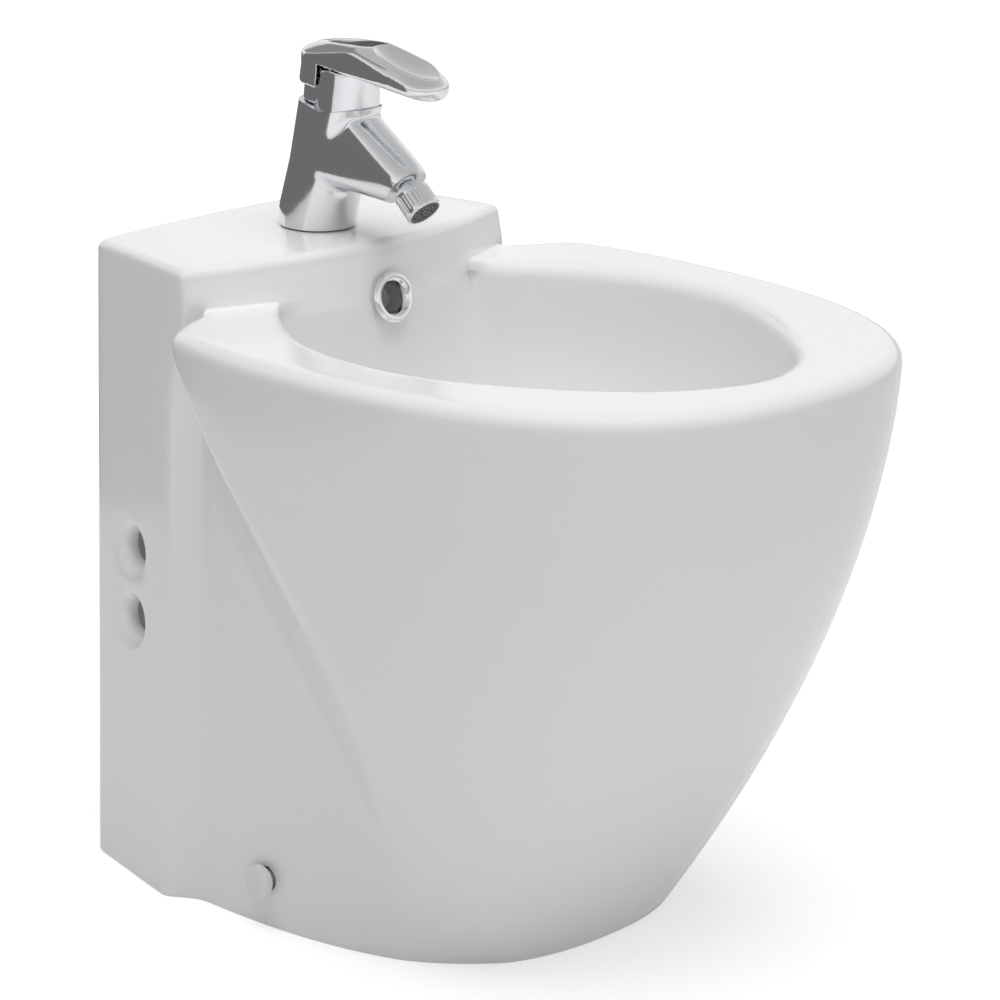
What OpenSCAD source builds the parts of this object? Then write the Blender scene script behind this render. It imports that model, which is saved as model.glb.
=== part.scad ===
// Floor-standing bidet with a single-lever mixer, a push-button waste and a bottle trap.
// Millimetres. +Z is up, the wall is at +Y and the front of the bowl at -Y.
// The origin is on the floor, in the middle of the bidet's box.

/* [Ceramic] */
// Distance from the wall to the front of the rim
depth = 522; // [512:1:535]
// Height of the rim above the floor
rim_z = 400; // [396:1:406]
// Half the width of the bowl at the rim
rim_half = 194; // [190:1:200]
// Height of the tap deck above the floor
deck_z = 429; // [425:1:434]
// Thickness of the cast wall
wall = 13; // [11:1:14]
// Depth of the bowl below the rim
bowl_depth = 144; // [138:1:146]

/* [Foot and column] */
// Distance from the wall to the front of the foot
foot_front = 351; // [345:1:356]
// Half the width of the bowl's shell at the floor
foot_half = 127; // [122:1:132]
// Distance from the wall to the front edge of the column
column_d = 98; // [94:1:102]
// Half the width of the column at the wall, at the floor
column_rear_floor = 137; // [133:1:141]
// Half the width of the column at the wall, at the deck
column_rear_deck = 122; // [118:1:126]
// Half the width of the column at its front edge, at the floor
column_front_floor = 159; // [155:1:163]
// Half the width of the column at its front edge, at the deck
column_front_deck = 139; // [135:1:143]

/* [Holes in the ceramic] */
// Radius of the tap hole
tap_hole_r = 17.5; // [17:0.5:18]
// Distance from the wall to the tap hole
tap_d = 83; // [81:1:85]
// Radius of the overflow hole
overflow_r = 10.5; // [9.5:0.5:11]
// Height of the overflow's centre
overflow_z = 392; // [390:1:394]
// Distance from the wall to the waste hole
waste_d = 265; // [262:1:268]
// Radius of the waste hole
waste_hole_r = 22.5; // [22:0.5:24]
// Radius of the holes in the column's sides
side_hole_r = 11.5; // [10:0.5:12]
// Height of the lower holes in the column's sides
side_hole_low = 179; // [174:1:184]
// Height of the upper holes in the column's sides
side_hole_high = 226.5; // [222:0.5:230]
// Distance from the wall to the holes in the column's sides
side_hole_d = 50; // [46:1:54]
// Distance from the wall to the floor fixings
fixing_d = 182; // [178:1:186]
// Height of the fixing screws through the foot
fixing_z = 32.5; // [30:0.5:34]

/* [Tap] */
// Radius of the tap's base
tap_base_r = 24.5; // [24:0.1:25]
// Forward lean of the lever's turning axis, in degrees
axis_lean = 8; // [7:0.5:9]
// Radius of the neck under the lever
neck_r = 20.2; // [20:0.1:20.4]
// Reach of the spout's end ahead of the tap's base
spout_u = 87; // [86:1:89]
// Height of the spout's end above the deck
spout_h = 38; // [37:1:39]
// Downward slope of the nozzle, in degrees
nozzle_slope = 42; // [40:1:44]
// Radius of the nozzle
nozzle_r = 12; // [11.8:0.1:12.2]

/* [Waste and trap] */
// Height of the plug above its shut position
plug_lift = 7.5; // [7:0.1:7.5]
// Outer radius of the waste's threaded tube
waste_r = 20.9; // [20.9:0.1:21]
// Height of the trap's outlet above the floor
outlet_z = 128; // [126:1:130]
// Outer radius of the outlet pipe
pipe_r = 16; // [15.8:0.1:16]

/* [Hidden] */
$fn = 64;

china = "white";
chrome = "silver";
brass = "goldenrod";
steel = "lightsteelblue";
rubber = "dimgray";
plastic = "whitesmoke";

eps = 0.01;

// ---------- shared shapes ----------

// Y of a point that is d away from the wall
function from_wall(d) = depth / 2 - d;
function mix(a, b, k) = a + (b - a) * k;

module ring(r_out, r_in, h) {
    difference() {
        cylinder(r = r_out, h = h);
        translate([0, 0, -1]) cylinder(r = r_in, h = h + 2);
    }
}

module hex_nut(across, r_in, h) {
    difference() {
        cylinder(r = across / 2 / cos(30), h = h, $fn = 6);
        translate([0, 0, -1]) cylinder(r = r_in, h = h + 2);
    }
}

// Middle of the box round a ring of points
function middle(ring) = [for (k = [0 : 2]) let (v = [for (p = ring) p[k]]) (min(v) + max(v)) / 2];

// A closed skin over rings of points, each ring a list of [x, y, z] of the same length.
// Each end is a fan about the ring's middle.
module skin(rings) {
    n = len(rings[0]);
    last = len(rings) - 1;
    points = concat([for (ring = rings) for (p = ring) p], [middle(rings[0]), middle(rings[last])]);
    sides = [for (k = [0 : last - 1], i = [0 : n - 1]) let (j = (i + 1) % n, a = k * n)
        each [[a + i, a + n + i, a + j], [a + j, a + n + i, a + n + j]]];
    low_fan = [for (i = [0 : n - 1]) [i, (i + 1) % n, (last + 1) * n]];
    high_fan = [for (i = [0 : n - 1]) [last * n + (i + 1) % n, last * n + i, (last + 1) * n + 1]];
    polyhedron(points = points, faces = concat(low_fan, sides, high_fan), convexity = 10);
}

// A full ring at height z from its near half, given as [half width, distance from the wall]
function mirrored_ring(half, z) = concat(
    [for (p = half) [-p[0], from_wall(p[1]), z]],
    [for (i = [len(half) - 1 : -1 : 0]) if (half[i][0] > eps) [half[i][0], from_wall(half[i][1]), z]]);

// ---------- outside of the ceramic ----------

shell_mid = 242;
side_power = 1.95;
front_power = 1.72;
ear_d = 137;
crease_run = 178;
ear_pinch = 80;
step_d = 119;
step_in = 14;
corner_r = 9;
rim_edge_r = 8;
blend_steps = 5;
shell_steps = 14;

function swell(t, power) = 1 - pow(1 - t, power);
function super_half(u, n) = pow(max(0, 1 - pow(max(0, u), n)), 1 / n);
function level(z) = min(1, z / rim_z);

function shell_side(t) = mix(foot_half, rim_half, swell(t, side_power));
function shell_front(t) = mix(foot_front, depth, swell(t, front_power));

// The curved rear edge of the bowl's shell, which sweeps from the rim's ears down to the foot
function crease(t) = ear_d + crease_run * pow(1 - pow(t, 3.3), 1.7);

// Half the width of the shell at distance d from the wall, inset by e
function shell_x(t, d, e) = (shell_side(t) - e)
    * super_half((d - shell_mid) / (shell_front(t) - e - shell_mid), mix(2.3, 2.56, t))
    - ear_pinch * pow(max(0, shell_mid - d) / shell_mid, 2);

function column_x(z, d) = mix(
    mix(column_rear_floor, column_rear_deck, z / deck_z),
    mix(column_front_floor, column_front_deck, z / deck_z), d / column_d);

function pedestal_half(z) = column_x(z, column_d) - step_in;
function pedestal_x(z, d) = pedestal_half(z) * super_half((d - step_d) / (foot_front - step_d), 2.5);

// A rounded corner of the column at the wall, inset by e
function rear_corner(z, e) = [for (a = [0 : 30 : 90])
    [column_x(z, e) - e - corner_r * (1 - sin(a)), e + corner_r * (1 - cos(a))]];

// Near half of the outline at height z, from the wall to the front. e insets the whole
// outline and rim_e the shell alone.
function outline(z, e, rim_e) =
    let (t = level(z), se = e + rim_e, c = crease(t) + se, front = shell_front(t) - se,
        out = shell_x(t, c, se) - pedestal_x(z, c) + e)
    concat(
        rear_corner(z, e),
        [[column_x(z, column_d) - e, column_d]],
        [for (i = [0 : blend_steps]) let (u = i / blend_steps, d = mix(step_d, c, u))
            [pedestal_x(z, d) - e + out * pow(u, 1.6), d]],
        [for (j = [1 : shell_steps]) let (d = c + (front - c) * sin(90 * j / shell_steps))
            [j == shell_steps ? 0 : shell_x(t, d, se), d]]);

// Levels close up towards the rim, where the shell's rear edge runs nearly level
shell_levels = [for (k = [0 : 11]) (rim_z - rim_edge_r) * swell(k / 11, 1.4)];

module outer_shell() {
    skin(concat(
        [for (z = shell_levels) mirrored_ring(outline(z, 0, 0), z)],
        [for (a = [30 : 30 : 90]) let (z = rim_z - rim_edge_r * (1 - sin(a)))
            mirrored_ring(outline(z, 0, rim_edge_r * (1 - cos(a))), z)]));
}

// ---------- tap deck ----------

deck_front = 146;
deck_corner_d = 111;
deck_edge_r = 6;
deck_lean = 8;

// Near half of the deck's outline: a splayed side and a front edge that bows forward
function deck_outline(z, e) =
    let (lean = deck_lean * (deck_z - z) / (deck_z - overflow_z),
        corner = deck_corner_d + lean / 2, bow = deck_front + lean - corner,
        half = column_x(z, corner))
    concat(
        rear_corner(z, e),
        [for (k = [0 : 8]) let (x = (half - e) * (1 - k / 8))
            [x, corner + bow * (1 - pow(x / half, 2)) - e]]);

module deck() {
    skin(concat(
        [for (z = [rim_z - 12, deck_z - deck_edge_r]) mirrored_ring(deck_outline(z, 0), z)],
        [for (a = [45 : 45 : 90]) let (z = deck_z - deck_edge_r * (1 - sin(a)))
            mirrored_ring(deck_outline(z, deck_edge_r * (1 - cos(a))), z)]));
}

// ---------- bowl ----------

bowl_mid = 300;
bowl_half = 140;
bowl_front = 176;
bowl_rear = 146;
bowl_drift = 34;
bowl_steps = 9;
bowl_points = 36;

function basin(s, power) = pow(1 - pow(s, power), 1 / power);

// Ring of the bowl at depth fraction s, grown by e
function bowl_ring(s, e) = [for (i = [0 : bowl_points - 1])
    let (a = 360 * i / bowl_points, c = cos(a), n = c > 0 ? 2.2 : 3.4,
        reach = c > 0 ? bowl_front * basin(s, 2.4) : bowl_rear * basin(s, 1.7),
        x = (bowl_half * basin(s, 2.6) + e) * pow(abs(sin(a)), 2 / n) * (a < 180 ? 1 : -1),
        y = (reach + e) * pow(abs(c), 2 / n) * (c > 0 ? 1 : -1))
    [x, from_wall(bowl_mid - bowl_drift * s * s + y), rim_z - s * (bowl_depth + e)]];

module bowl_space(e) {
    lid = [for (p = bowl_ring(0, e)) [p[0], p[1], rim_z + 2]];
    skin(concat(
        [for (k = [bowl_steps : -1 : 0]) bowl_ring(min(0.985, sin(90 * k / bowl_steps)), e)], [lid]));
}

// ---------- inside of the casting ----------

rim_t = 16;
duct_half = 20;
duct_rear_d = 110;
duct_front_d = 142;
channel_half = 11;
channel_rear_d = 117;
channel_front_d = 131;
channel_z = [224, 236];
boss_z = 218;
boss_r = 37;
back_half = 88;
back_z = 330;
deck_t = 14;
waste_y = from_wall(waste_d);

// A box given by half width, distances from the wall and heights
module wall_box(half, d0, d1, z0, z1) {
    translate([-half, from_wall(d1), z0]) cube([2 * half, d1 - d0, z1 - z0]);
}

module overflow_duct() {
    wall_box(duct_half, duct_rear_d, duct_front_d, boss_z, rim_z - rim_t + 2);
    wall_box(duct_half, duct_rear_d, waste_d, boss_z, channel_z[1] + 8);
    translate([0, waste_y, boss_z]) cylinder(r = boss_r, h = 40);
}

module casting_space() {
    difference() {
        skin([for (k = [0 : 9]) let (z = (rim_z - rim_t) * swell(k / 9, 1.4))
            mirrored_ring(outline(z, wall, 0), k == 0 ? -1 : z)]);
        bowl_space(wall - 1);
        overflow_duct();
    }
    wall_box(column_rear_deck - 2 * wall, wall + 4, column_d + 6, rim_z - 3 * rim_t, deck_z - deck_t);
    wall_box(back_half, -1, wall + 2, -1, back_z);
}

module overflow_channel() {
    wall_box(channel_half, channel_rear_d, channel_front_d, channel_z[0], overflow_z + 6);
    wall_box(channel_half, channel_rear_d, waste_d, channel_z[0], channel_z[1]);
}

// Frame at the overflow: the origin is on the wall of the bowl, +Z points out into the bowl
overflow_d = 156;
overflow_lean = 13;
module at_overflow() {
    translate([0, from_wall(overflow_d), overflow_z]) rotate([90 - overflow_lean, 0, 0]) children();
}

fixing_x = 145;
cap_r = 11;
dish_r = 22;
dish_h = 8;

module side_hole(z) {
    outside = column_x(z, side_hole_d);
    translate([0, from_wall(side_hole_d), z]) rotate([0, 90, 0])
        cylinder(r = side_hole_r, h = 400, center = true);
    for (side = [-1, 1])
        translate([side * (outside - dish_h + 0.5), from_wall(side_hole_d), z]) rotate([0, side * 90, 0])
            cylinder(r1 = side_hole_r, r2 = dish_r, h = dish_h);
}

module fixing_hole(side) {
    translate([0, from_wall(fixing_d), fixing_z]) rotate([0, side * 90, 0]) {
        cylinder(r = sleeve_r, h = 200);
        translate([0, 0, fixing_x]) cylinder(r = cap_r + 0.6, h = 20);
    }
}

seat_z = rim_z - bowl_depth - 3;

module ceramic_body() {
    color(china) difference() {
        union() {
            outer_shell();
            deck();
        }
        bowl_space(0);
        casting_space();
        overflow_channel();
        translate([0, from_wall(tap_d), rim_z]) cylinder(r = tap_hole_r, h = 50);
        translate([0, waste_y, boss_z - 1]) cylinder(r = waste_hole_r, h = 60);
        translate([0, waste_y, seat_z]) cylinder(r = 33, h = 20);
        at_overflow() {
            translate([0, 0, -34]) cylinder(r = overflow_r, h = 60);
            cylinder(r = 17.4, h = 20);
        }
        for (z = [side_hole_low, side_hole_high]) side_hole(z);
        for (side = [-1, 1]) fixing_hole(side);
    }
}

// Chrome ring that lines the overflow hole
module overflow_ring() {
    color(chrome) at_overflow() rotate_extrude()
        polygon([[8.6, -16], [10.4, -16], [10.4, 0], [17, 0], [17, 1.2], [16, 2.4], [14.4, 3],
            [12.4, 2.6], [10.8, 1], [9.2, -3], [8.6, -8]]);
}

// ---------- floor fixings ----------

sleeve_r = 6;
sleeve_bore = 3.1;
bracket_x = 124;
bracket_foot = 42;
bracket_rise = 52;
bracket_t = 4;
bracket_len = 44;
bracket_boss_r = 8;
bracket_boss_h = 12;
foot_screw_x = 101;
foot_hole_r = 4.5;
side_screw_r = 3;
head_rest = 1.2;

// Both floor fixings: each is symmetric front to back, so a half turn makes the other side
module each_side() {
    for (turn = [0, 180]) translate([0, from_wall(fixing_d), 0]) rotate(turn) children();
}

// Frame on the line of the screw through the foot, x away from the bidet's middle
module at_side_screw(x) {
    translate([x, 0, fixing_z]) rotate([0, 90, 0]) children();
}

module floor_brackets() {
    color(steel) each_side() difference() {
        union() {
            translate([bracket_x - bracket_foot, -bracket_len / 2, 0])
                cube([bracket_foot, bracket_len, bracket_t]);
            translate([bracket_x - bracket_t, -bracket_len / 2, 0])
                cube([bracket_t, bracket_len, bracket_rise]);
            at_side_screw(bracket_x - bracket_boss_h) cylinder(r = bracket_boss_r, h = bracket_boss_h);
        }
        translate([foot_screw_x, 0, -1]) cylinder(r = foot_hole_r, h = bracket_t + 2);
        at_side_screw(bracket_x - bracket_boss_h - 1) cylinder(r = side_screw_r, h = bracket_boss_h + 2);
    }
}

module side_screws() {
    shank_start = bracket_x - bracket_boss_h;
    color(steel) each_side() {
        at_side_screw(shank_start) cylinder(r = side_screw_r, h = fixing_x + 2 * head_rest - shank_start);
        at_side_screw(fixing_x + head_rest) cylinder(r = 5.5, h = 3);
    }
}

module side_sleeves() {
    color(plastic) each_side() difference() {
        union() {
            at_side_screw(bracket_x) cylinder(r = sleeve_r - 0.1, h = fixing_x - bracket_x);
            at_side_screw(fixing_x) cylinder(r = 8.5, h = head_rest);
        }
        at_side_screw(bracket_x - 1) cylinder(r = sleeve_bore, h = fixing_x - bracket_x + 4);
    }
}

module screw_caps() {
    color(plastic) each_side() at_side_screw(fixing_x) rotate_extrude()
        polygon([[8.6, 0], [cap_r, 0], [cap_r, 5.2], [cap_r - 1.2, 6.6], [0, 7.2], [0, 4.4], [8.6, 4.4]]);
}

// ---------- waste ----------

flange_z = seat_z + 1;
flange_t = 3;
flange_top = flange_z + flange_t;
waste_bore = 17.5;
waste_low_z = 165;
bridge_z = 186;
bridge_t = 6;
barrel_r = 8.5;
chamber_z = 196;
chamber_top = 226;
stem_r = 4.2;
stem_collar_z = 216;

module at_waste(z) {
    translate([0, waste_y, z]) children();
}

module waste_flange() {
    color(chrome) difference() {
        union() {
            at_waste(flange_z) rotate_extrude()
                polygon([[waste_r, 0], [31.5, 0], [31.5, 1.4], [29.5, flange_t], [25, flange_t],
                    [24.5, 0.8], [20, 0.3], [waste_bore, -3], [waste_bore, -8], [waste_r, -8]]);
            at_waste(waste_low_z) ring(waste_r, waste_bore, flange_z - waste_low_z - 4);
            at_waste(bridge_z) cylinder(r = 9, h = bridge_t);
            at_waste(bridge_z + bridge_t / 2) cube([2 * waste_bore + 2, 7, bridge_t], center = true);
        }
        at_waste(bridge_z - 1) cylinder(r = 5, h = bridge_t + 2);
        // overflow slots at the height of the casting's channel
        at_waste((channel_z[0] + channel_z[1]) / 2) cube([14, 60, 9], center = true);
    }
}

module flange_gasket() {
    color(rubber) at_waste(seat_z) ring(31, 23.5, 1);
}

module cone_gasket() {
    color(rubber) at_waste(boss_z - 6) rotate_extrude()
        polygon([[waste_r, 0], [33, 0], [33, 3], [29, 6], [waste_r, 6]]);
}

module waste_nut() {
    color(brass) at_waste(boss_z - 17) {
        hex_nut(56, waste_r, 9);
        translate([0, 0, 9]) ring(32.5, waste_r, 2);
    }
}

module plug_cap() {
    color(chrome) at_waste(flange_top + plug_lift) rotate_extrude()
        polygon([[0, 0], [30, 0], [31, 0.8], [31, 2], [29, 3.2], [20, 4.4], [10, 5], [0, 5.2]]);
}

module plug_seal() {
    color(rubber) at_waste(flange_top + plug_lift - 1.8) ring(22.5, 19, 1.8);
}

module plug_stem() {
    color(chrome) at_waste(0) {
        translate([0, 0, stem_collar_z]) cylinder(r = stem_r, h = flange_top + plug_lift - stem_collar_z);
        translate([0, 0, stem_collar_z]) cylinder(r = 6, h = 6);
        translate([0, 0, flange_top + plug_lift - 6]) cylinder(r = 9, h = 6);
    }
}

module click_barrel() {
    color(plastic) at_waste(0) difference() {
        union() {
            translate([0, 0, bridge_z - 3]) cylinder(r = 5, h = bridge_t + 4);
            translate([0, 0, bridge_z + bridge_t]) cylinder(r = barrel_r, h = 44);
        }
        translate([0, 0, chamber_z]) cylinder(r = 6.5, h = chamber_top - chamber_z);
        translate([0, 0, chamber_top - 1]) cylinder(r = stem_r + 0.05, h = 30);
    }
}

spring_r = 4.9;
spring_wire = 0.5;
spring_turns = 5;
spring_sides = 6;

// Coil between the barrel's floor and the stem's collar
module click_spring() {
    steps = spring_turns * 12;
    rise = stem_collar_z - chamber_z - 2 * spring_wire - 0.2;
    color(steel) at_waste(chamber_z + spring_wire + 0.1) skin([for (k = [0 : steps])
        let (a = 360 * spring_turns * k / steps, z = rise * k / steps)
        [for (s = [0 : spring_sides - 1]) let (b = -360 * s / spring_sides,
            r = spring_r + spring_wire * cos(b))
            [r * cos(a), r * sin(a), z + spring_wire * sin(b)]]]);
}

// ---------- bottle trap ----------

bottle_r = 32;
bottle_t = 2.5;
bottle_top = 150;
cup_z = 92;
cup_low = 58;
stub_r = 20;
stub_end = 62;
// The outlet is turned to one side, so that its pipe passes beside the water tails
outlet_turn = 10;
// The pipe's end within the nut is turned down a little
spigot_r = pipe_r - 0.25;
pipe_start = stub_end - 18;
pipe_free = stub_end + 8;
pipe_end = (depth / 2 - waste_y - pipe_r * sin(outlet_turn)) / cos(outlet_turn);

module trap_inlet_nut() {
    color(chrome) at_waste(156) {
        difference() {
            ring(27, waste_r, 28);
            translate([0, 0, -1]) cylinder(r = 26.9, h = 0.9);
        }
        ring(waste_r + 1, pipe_r + 0.6, 3);
    }
}

module trap_inlet_seal() {
    color(rubber) at_waste(162) ring(waste_r - 0.3, 14.5, 3);
}

module dip_tube() {
    color(chrome) at_waste(0) {
        translate([0, 0, 74]) ring(pipe_r, 14.5, 88);
        translate([0, 0, 159]) ring(waste_r - 0.3, 14.5, 3);
    }
}

module trap_body() {
    color(chrome) difference() {
        union() {
            at_waste(cup_z) cylinder(r = bottle_r, h = bottle_top - cup_z - 8);
            at_waste(bottle_top - 8) cylinder(r1 = bottle_r, r2 = pipe_r + 4, h = 8);
            at_waste(cup_z - 8) cylinder(r = bottle_r - bottle_t - 1.2, h = 9);
            at_outlet(0) cylinder(r = stub_r, h = stub_end);
        }
        at_waste(cup_z - 9) cylinder(r = bottle_r - 2 * bottle_t - 1, h = bottle_top - cup_z - 1);
        at_waste(cup_z) cylinder(r = pipe_r, h = bottle_top);
        at_outlet(0) cylinder(r = spigot_r + 0.1, h = stub_end + 1);
    }
}

module trap_cup() {
    color(chrome) at_waste(cup_low) rotate_extrude()
        polygon([[0, 0], [24, 0], [29, 2], [bottle_r, 7], [bottle_r, cup_z - cup_low - 1.5],
            [bottle_r - bottle_t, cup_z - cup_low - 1.5], [bottle_r - bottle_t, 8], [27, 4.6],
            [23, bottle_t], [0, bottle_t]]);
}

module trap_cup_seal() {
    color(rubber) at_waste(cup_z - 1.5) ring(bottle_r - 0.4, bottle_r - bottle_t - 1.1, 1.5);
}

module at_outlet(run) {
    at_waste(outlet_z) rotate(-outlet_turn) translate([0, run, 0]) rotate([-90, 0, 0]) children();
}

module outlet_nut() {
    color(chrome) at_outlet(stub_end - 12) difference() {
        union() {
            ring(stub_r + 4.5, stub_r, 16);
            translate([0, 0, 15.9]) ring(stub_r + 4.5, pipe_r + 0.3, 3);
        }
        for (a = [0 : 30 : 330]) rotate(a) translate([stub_r + 5.2, 0, -1]) cylinder(r = 1.6, h = 22);
    }
}

module outlet_seal() {
    color(rubber) at_outlet(stub_end) ring(stub_r - 0.4, spigot_r + 0.05, 3.8);
}

module outlet_pipe() {
    color(chrome) at_outlet(0) difference() {
        union() {
            translate([0, 0, pipe_start]) cylinder(r = spigot_r, h = pipe_end - pipe_start - 1);
            translate([0, 0, pipe_free]) cylinder(r = pipe_r, h = pipe_end - pipe_free);
        }
        translate([0, 0, pipe_start - 1]) cylinder(r = pipe_r - 1.4, h = pipe_end - pipe_start + 2);
    }
}

// ---------- tap ----------

gasket_t = 1;
neck_u = 19.6;
shoulder = 82;
body_rear = 21.5;
cartridge_r = 17.5;
cartridge_low = 42;
nut_r = 19;
pivot = 97;
stem_half = 4;
spout_half = 20.5;

// Tap frame: +X points forward from the tap hole's centre on the deck
module at_tap() {
    translate([0, from_wall(tap_d), deck_z + gasket_t]) rotate([0, 0, -90]) children();
}

// Lever's turning axis, which leans forward, inside the tap frame
module lean_frame(z) {
    translate([neck_u, 0, 0]) rotate([0, axis_lean, 0]) translate([0, 0, z]) children();
}

// Spout's end inside the tap frame, with +Z pointing out of the nozzle
module nozzle_frame(z) {
    translate([spout_u, 0, spout_h]) rotate([0, 90 + nozzle_slope, 0]) translate([0, 0, z]) children();
}

module at_neck(z) {
    at_tap() lean_frame(z) children();
}

module at_nozzle(z) {
    at_tap() nozzle_frame(z) children();
}

module disc(r, h) {
    cylinder(r = r, h = h, $fn = 32);
}

// Base column, drawn in the tap frame
module tap_column() {
    cylinder(r = tap_base_r, h = 12);
    hull() {
        at_column(10, 0, tap_base_r - 0.3);
        at_column(46, 4, 20.5);
        at_column(46, 19, 20.5);
    }
    hull() {
        at_column(43, 4, 20.2);
        at_column(43, 19, 20.2);
        lean_frame(shoulder - 1) disc(22.6, 1);
        lean_frame(shoulder - 1) translate([-body_rear, 0, 0]) disc(17.5, 1);
    }
}

module at_column(h, u, r) {
    translate([u, 0, h]) disc(r, 1);
}

module spout() {
    hull() {
        lean_frame(shoulder - 30) disc(spout_half, 29);
        at_column(34, 16, 17);
        translate([50, 0, 45]) disc(spout_half - 4, 20);
        translate([48, 0, 51]) disc(spout_half - 1, 16);
    }
    hull() {
        translate([46, 0, 46]) disc(spout_half - 3, 21);
        translate([46, 0, 52]) disc(spout_half, 17);
        translate([70, 0, 38]) disc(18, 18);
        nozzle_frame(-5) disc(nozzle_r + 2.6, 3);
        nozzle_frame(-2) disc(nozzle_r + 1.2, 2);
    }
}

module tap_body() {
    color(chrome) at_tap() difference() {
        union() {
            tap_column();
            spout();
        }
        lean_frame(cartridge_low) cylinder(r = cartridge_r, h = 60);
        lean_frame(shoulder - 6) cylinder(r = nut_r, h = 20);
        // ways of the hot and cold water, and their threaded ports
        for (side = [-1, 1]) translate([inlet_u, side * inlet_v, 0]) {
            translate([0, 0, -1]) cylinder(r = inlet_r, h = inlet_depth + 1);
            rotate([0, inlet_slant, 0]) translate([0, 0, 6]) cylinder(r = 3.4, h = 40);
        }
        translate([stud_u, 0, -1]) cylinder(r = stud_r, h = 15);
        // way of the mixed water down the spout
        nozzle_frame(-34) cylinder(r = 5, h = 40);
        translate([20, 0, 58]) rotate([0, 88, 0]) cylinder(r = 5, h = 46);
        nozzle_frame(-stub_in - washer_t) cylinder(r = stub_thread_r, h = 40);
    }
}

inlet_u = 8.5;
inlet_v = 7;
inlet_r = 4.9;
inlet_depth = 12;
inlet_slant = 13.5;
stud_u = -9.5;
stud_r = 4;
stub_in = 10;
washer_t = 1.5;
stub_thread_r = 9.5;

module tap_gasket() {
    color(rubber) at_tap() difference() {
        translate([0, 0, -gasket_t]) cylinder(r = tap_base_r - 1, h = gasket_t);
        translate([0, 0, -gasket_t - 1]) cylinder(r = tap_hole_r, h = gasket_t + 2);
    }
}

module tap_stud() {
    color(steel) at_tap() translate([stud_u, 0, -58]) cylinder(r = stud_r, h = 71);
}

// The clamp sits under the deck, whose underside is this far below the tap's base
clamp_drop = deck_t + gasket_t;
clamp_t = 3;

module clamp_plan() {
    difference() {
        circle(r = 24);
        translate([28, 0]) square([50, 30], center = true);
        translate([stud_u, 0]) circle(r = stud_r + 0.2);
    }
}

module clamp_rubber() {
    color(rubber) at_tap() translate([0, 0, -clamp_drop - clamp_t])
        linear_extrude(height = clamp_t) clamp_plan();
}

module clamp_plate() {
    color(steel) at_tap() translate([0, 0, -clamp_drop - 2 * clamp_t])
        linear_extrude(height = clamp_t) clamp_plan();
}

module stud_nut() {
    color(brass) at_tap() translate([stud_u, 0, -clamp_drop - 2 * clamp_t - 10])
        hex_nut(13, stud_r, 10);
}

module cartridge() {
    color(plastic) at_neck(0) difference() {
        union() {
            translate([0, 0, cartridge_low + 0.8]) cylinder(r = cartridge_r - 0.1, h = 33.2);
            translate([0, 0, 75.9]) cylinder(r = 12.4, h = 12.1);
        }
        // ports in the foot
        for (p = [[-8.5, 6.5], [-8.5, -6.5], [9, 0]])
            translate([p[0], p[1], cartridge_low]) cylinder(r = 3.6, h = 12);
        translate([0, 0, 78]) cylinder(r = 10.05, h = 20);
    }
}

module cartridge_seals() {
    color(rubber) at_neck(cartridge_low) for (p = [[-8.5, 6.5], [-8.5, -6.5], [9, 0]])
        translate([p[0], p[1], 0]) ring(5.2, 3.6, 0.8);
}

module cartridge_nut() {
    color(brass) at_neck(76) {
        ring(nut_r, 12.5, 6);
        translate([0, 0, 6]) hex_nut(32, 12.5, 5);
    }
}

// ---------- lever: the pieces that turn ----------

module stem_carrier() {
    color(plastic) at_neck(0) difference() {
        translate([0, 0, 78.2]) cylinder(r = 10, h = 25);
        translate([-6.4, -stem_half - 0.1, 86]) cube([13.4, 2 * stem_half + 0.2, 20]);
        translate([0, 20, pivot]) rotate([90, 0, 0]) cylinder(r = 1.55, h = 40);
    }
}

cover_z = shoulder + 0.4;
cover_top = 105.5;
cover_slant = 10;
cover_rear_half = 15.2;
cover_rear_mid = 20.6;
cover_rear_top = 99.5;

module neck_cover() {
    color(chrome) at_neck(0) difference() {
        union() {
            difference() {
                translate([0, 0, cover_z]) cylinder(r = neck_r, h = 30);
                // the top slants up to the front, which leaves room for the lever to lift
                translate([0, 0, cover_top]) rotate([0, -cover_slant, 0])
                    translate([-50, -50, 0]) cube([100, 100, 30]);
            }
            // rear fairing inside the handle's skirt
            translate([-cover_rear_mid, 0, cover_z]) {
                cylinder(r = cover_rear_half, h = cover_rear_top - cover_z);
                translate([0, -cover_rear_half, 0])
                    cube([cover_rear_mid - 2, 2 * cover_rear_half, cover_rear_top - cover_z]);
            }
        }
        translate([0, 0, cover_z - 1]) cylinder(r = neck_r - 1.4, h = cover_top - cover_z - 5);
        translate([0, 0, cover_z]) cylinder(r = 12.9, h = 40);
    }
}

// ---------- lever: the pieces that lift ----------

handle_wall = 2;
skirt_half = 17.4;
skirt_rear = 40.4;
skirt_z = 93.5;
lip_z = 110;

stem_low = pivot - 8;
stem_top = pivot + 21;

module lever_stem() {
    color(steel) at_neck(0) difference() {
        translate([-stem_half, -stem_half, stem_low]) cube([2 * stem_half, 2 * stem_half, stem_top - stem_low]);
        translate([0, 20, pivot]) rotate([90, 0, 0]) cylinder(r = 1.5, h = 40);
    }
}

module stem_pin() {
    color(steel) at_neck(pivot) translate([0, 9.6, 0]) rotate([90, 0, 0]) cylinder(r = 1.5, h = 19.2);
}

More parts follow.
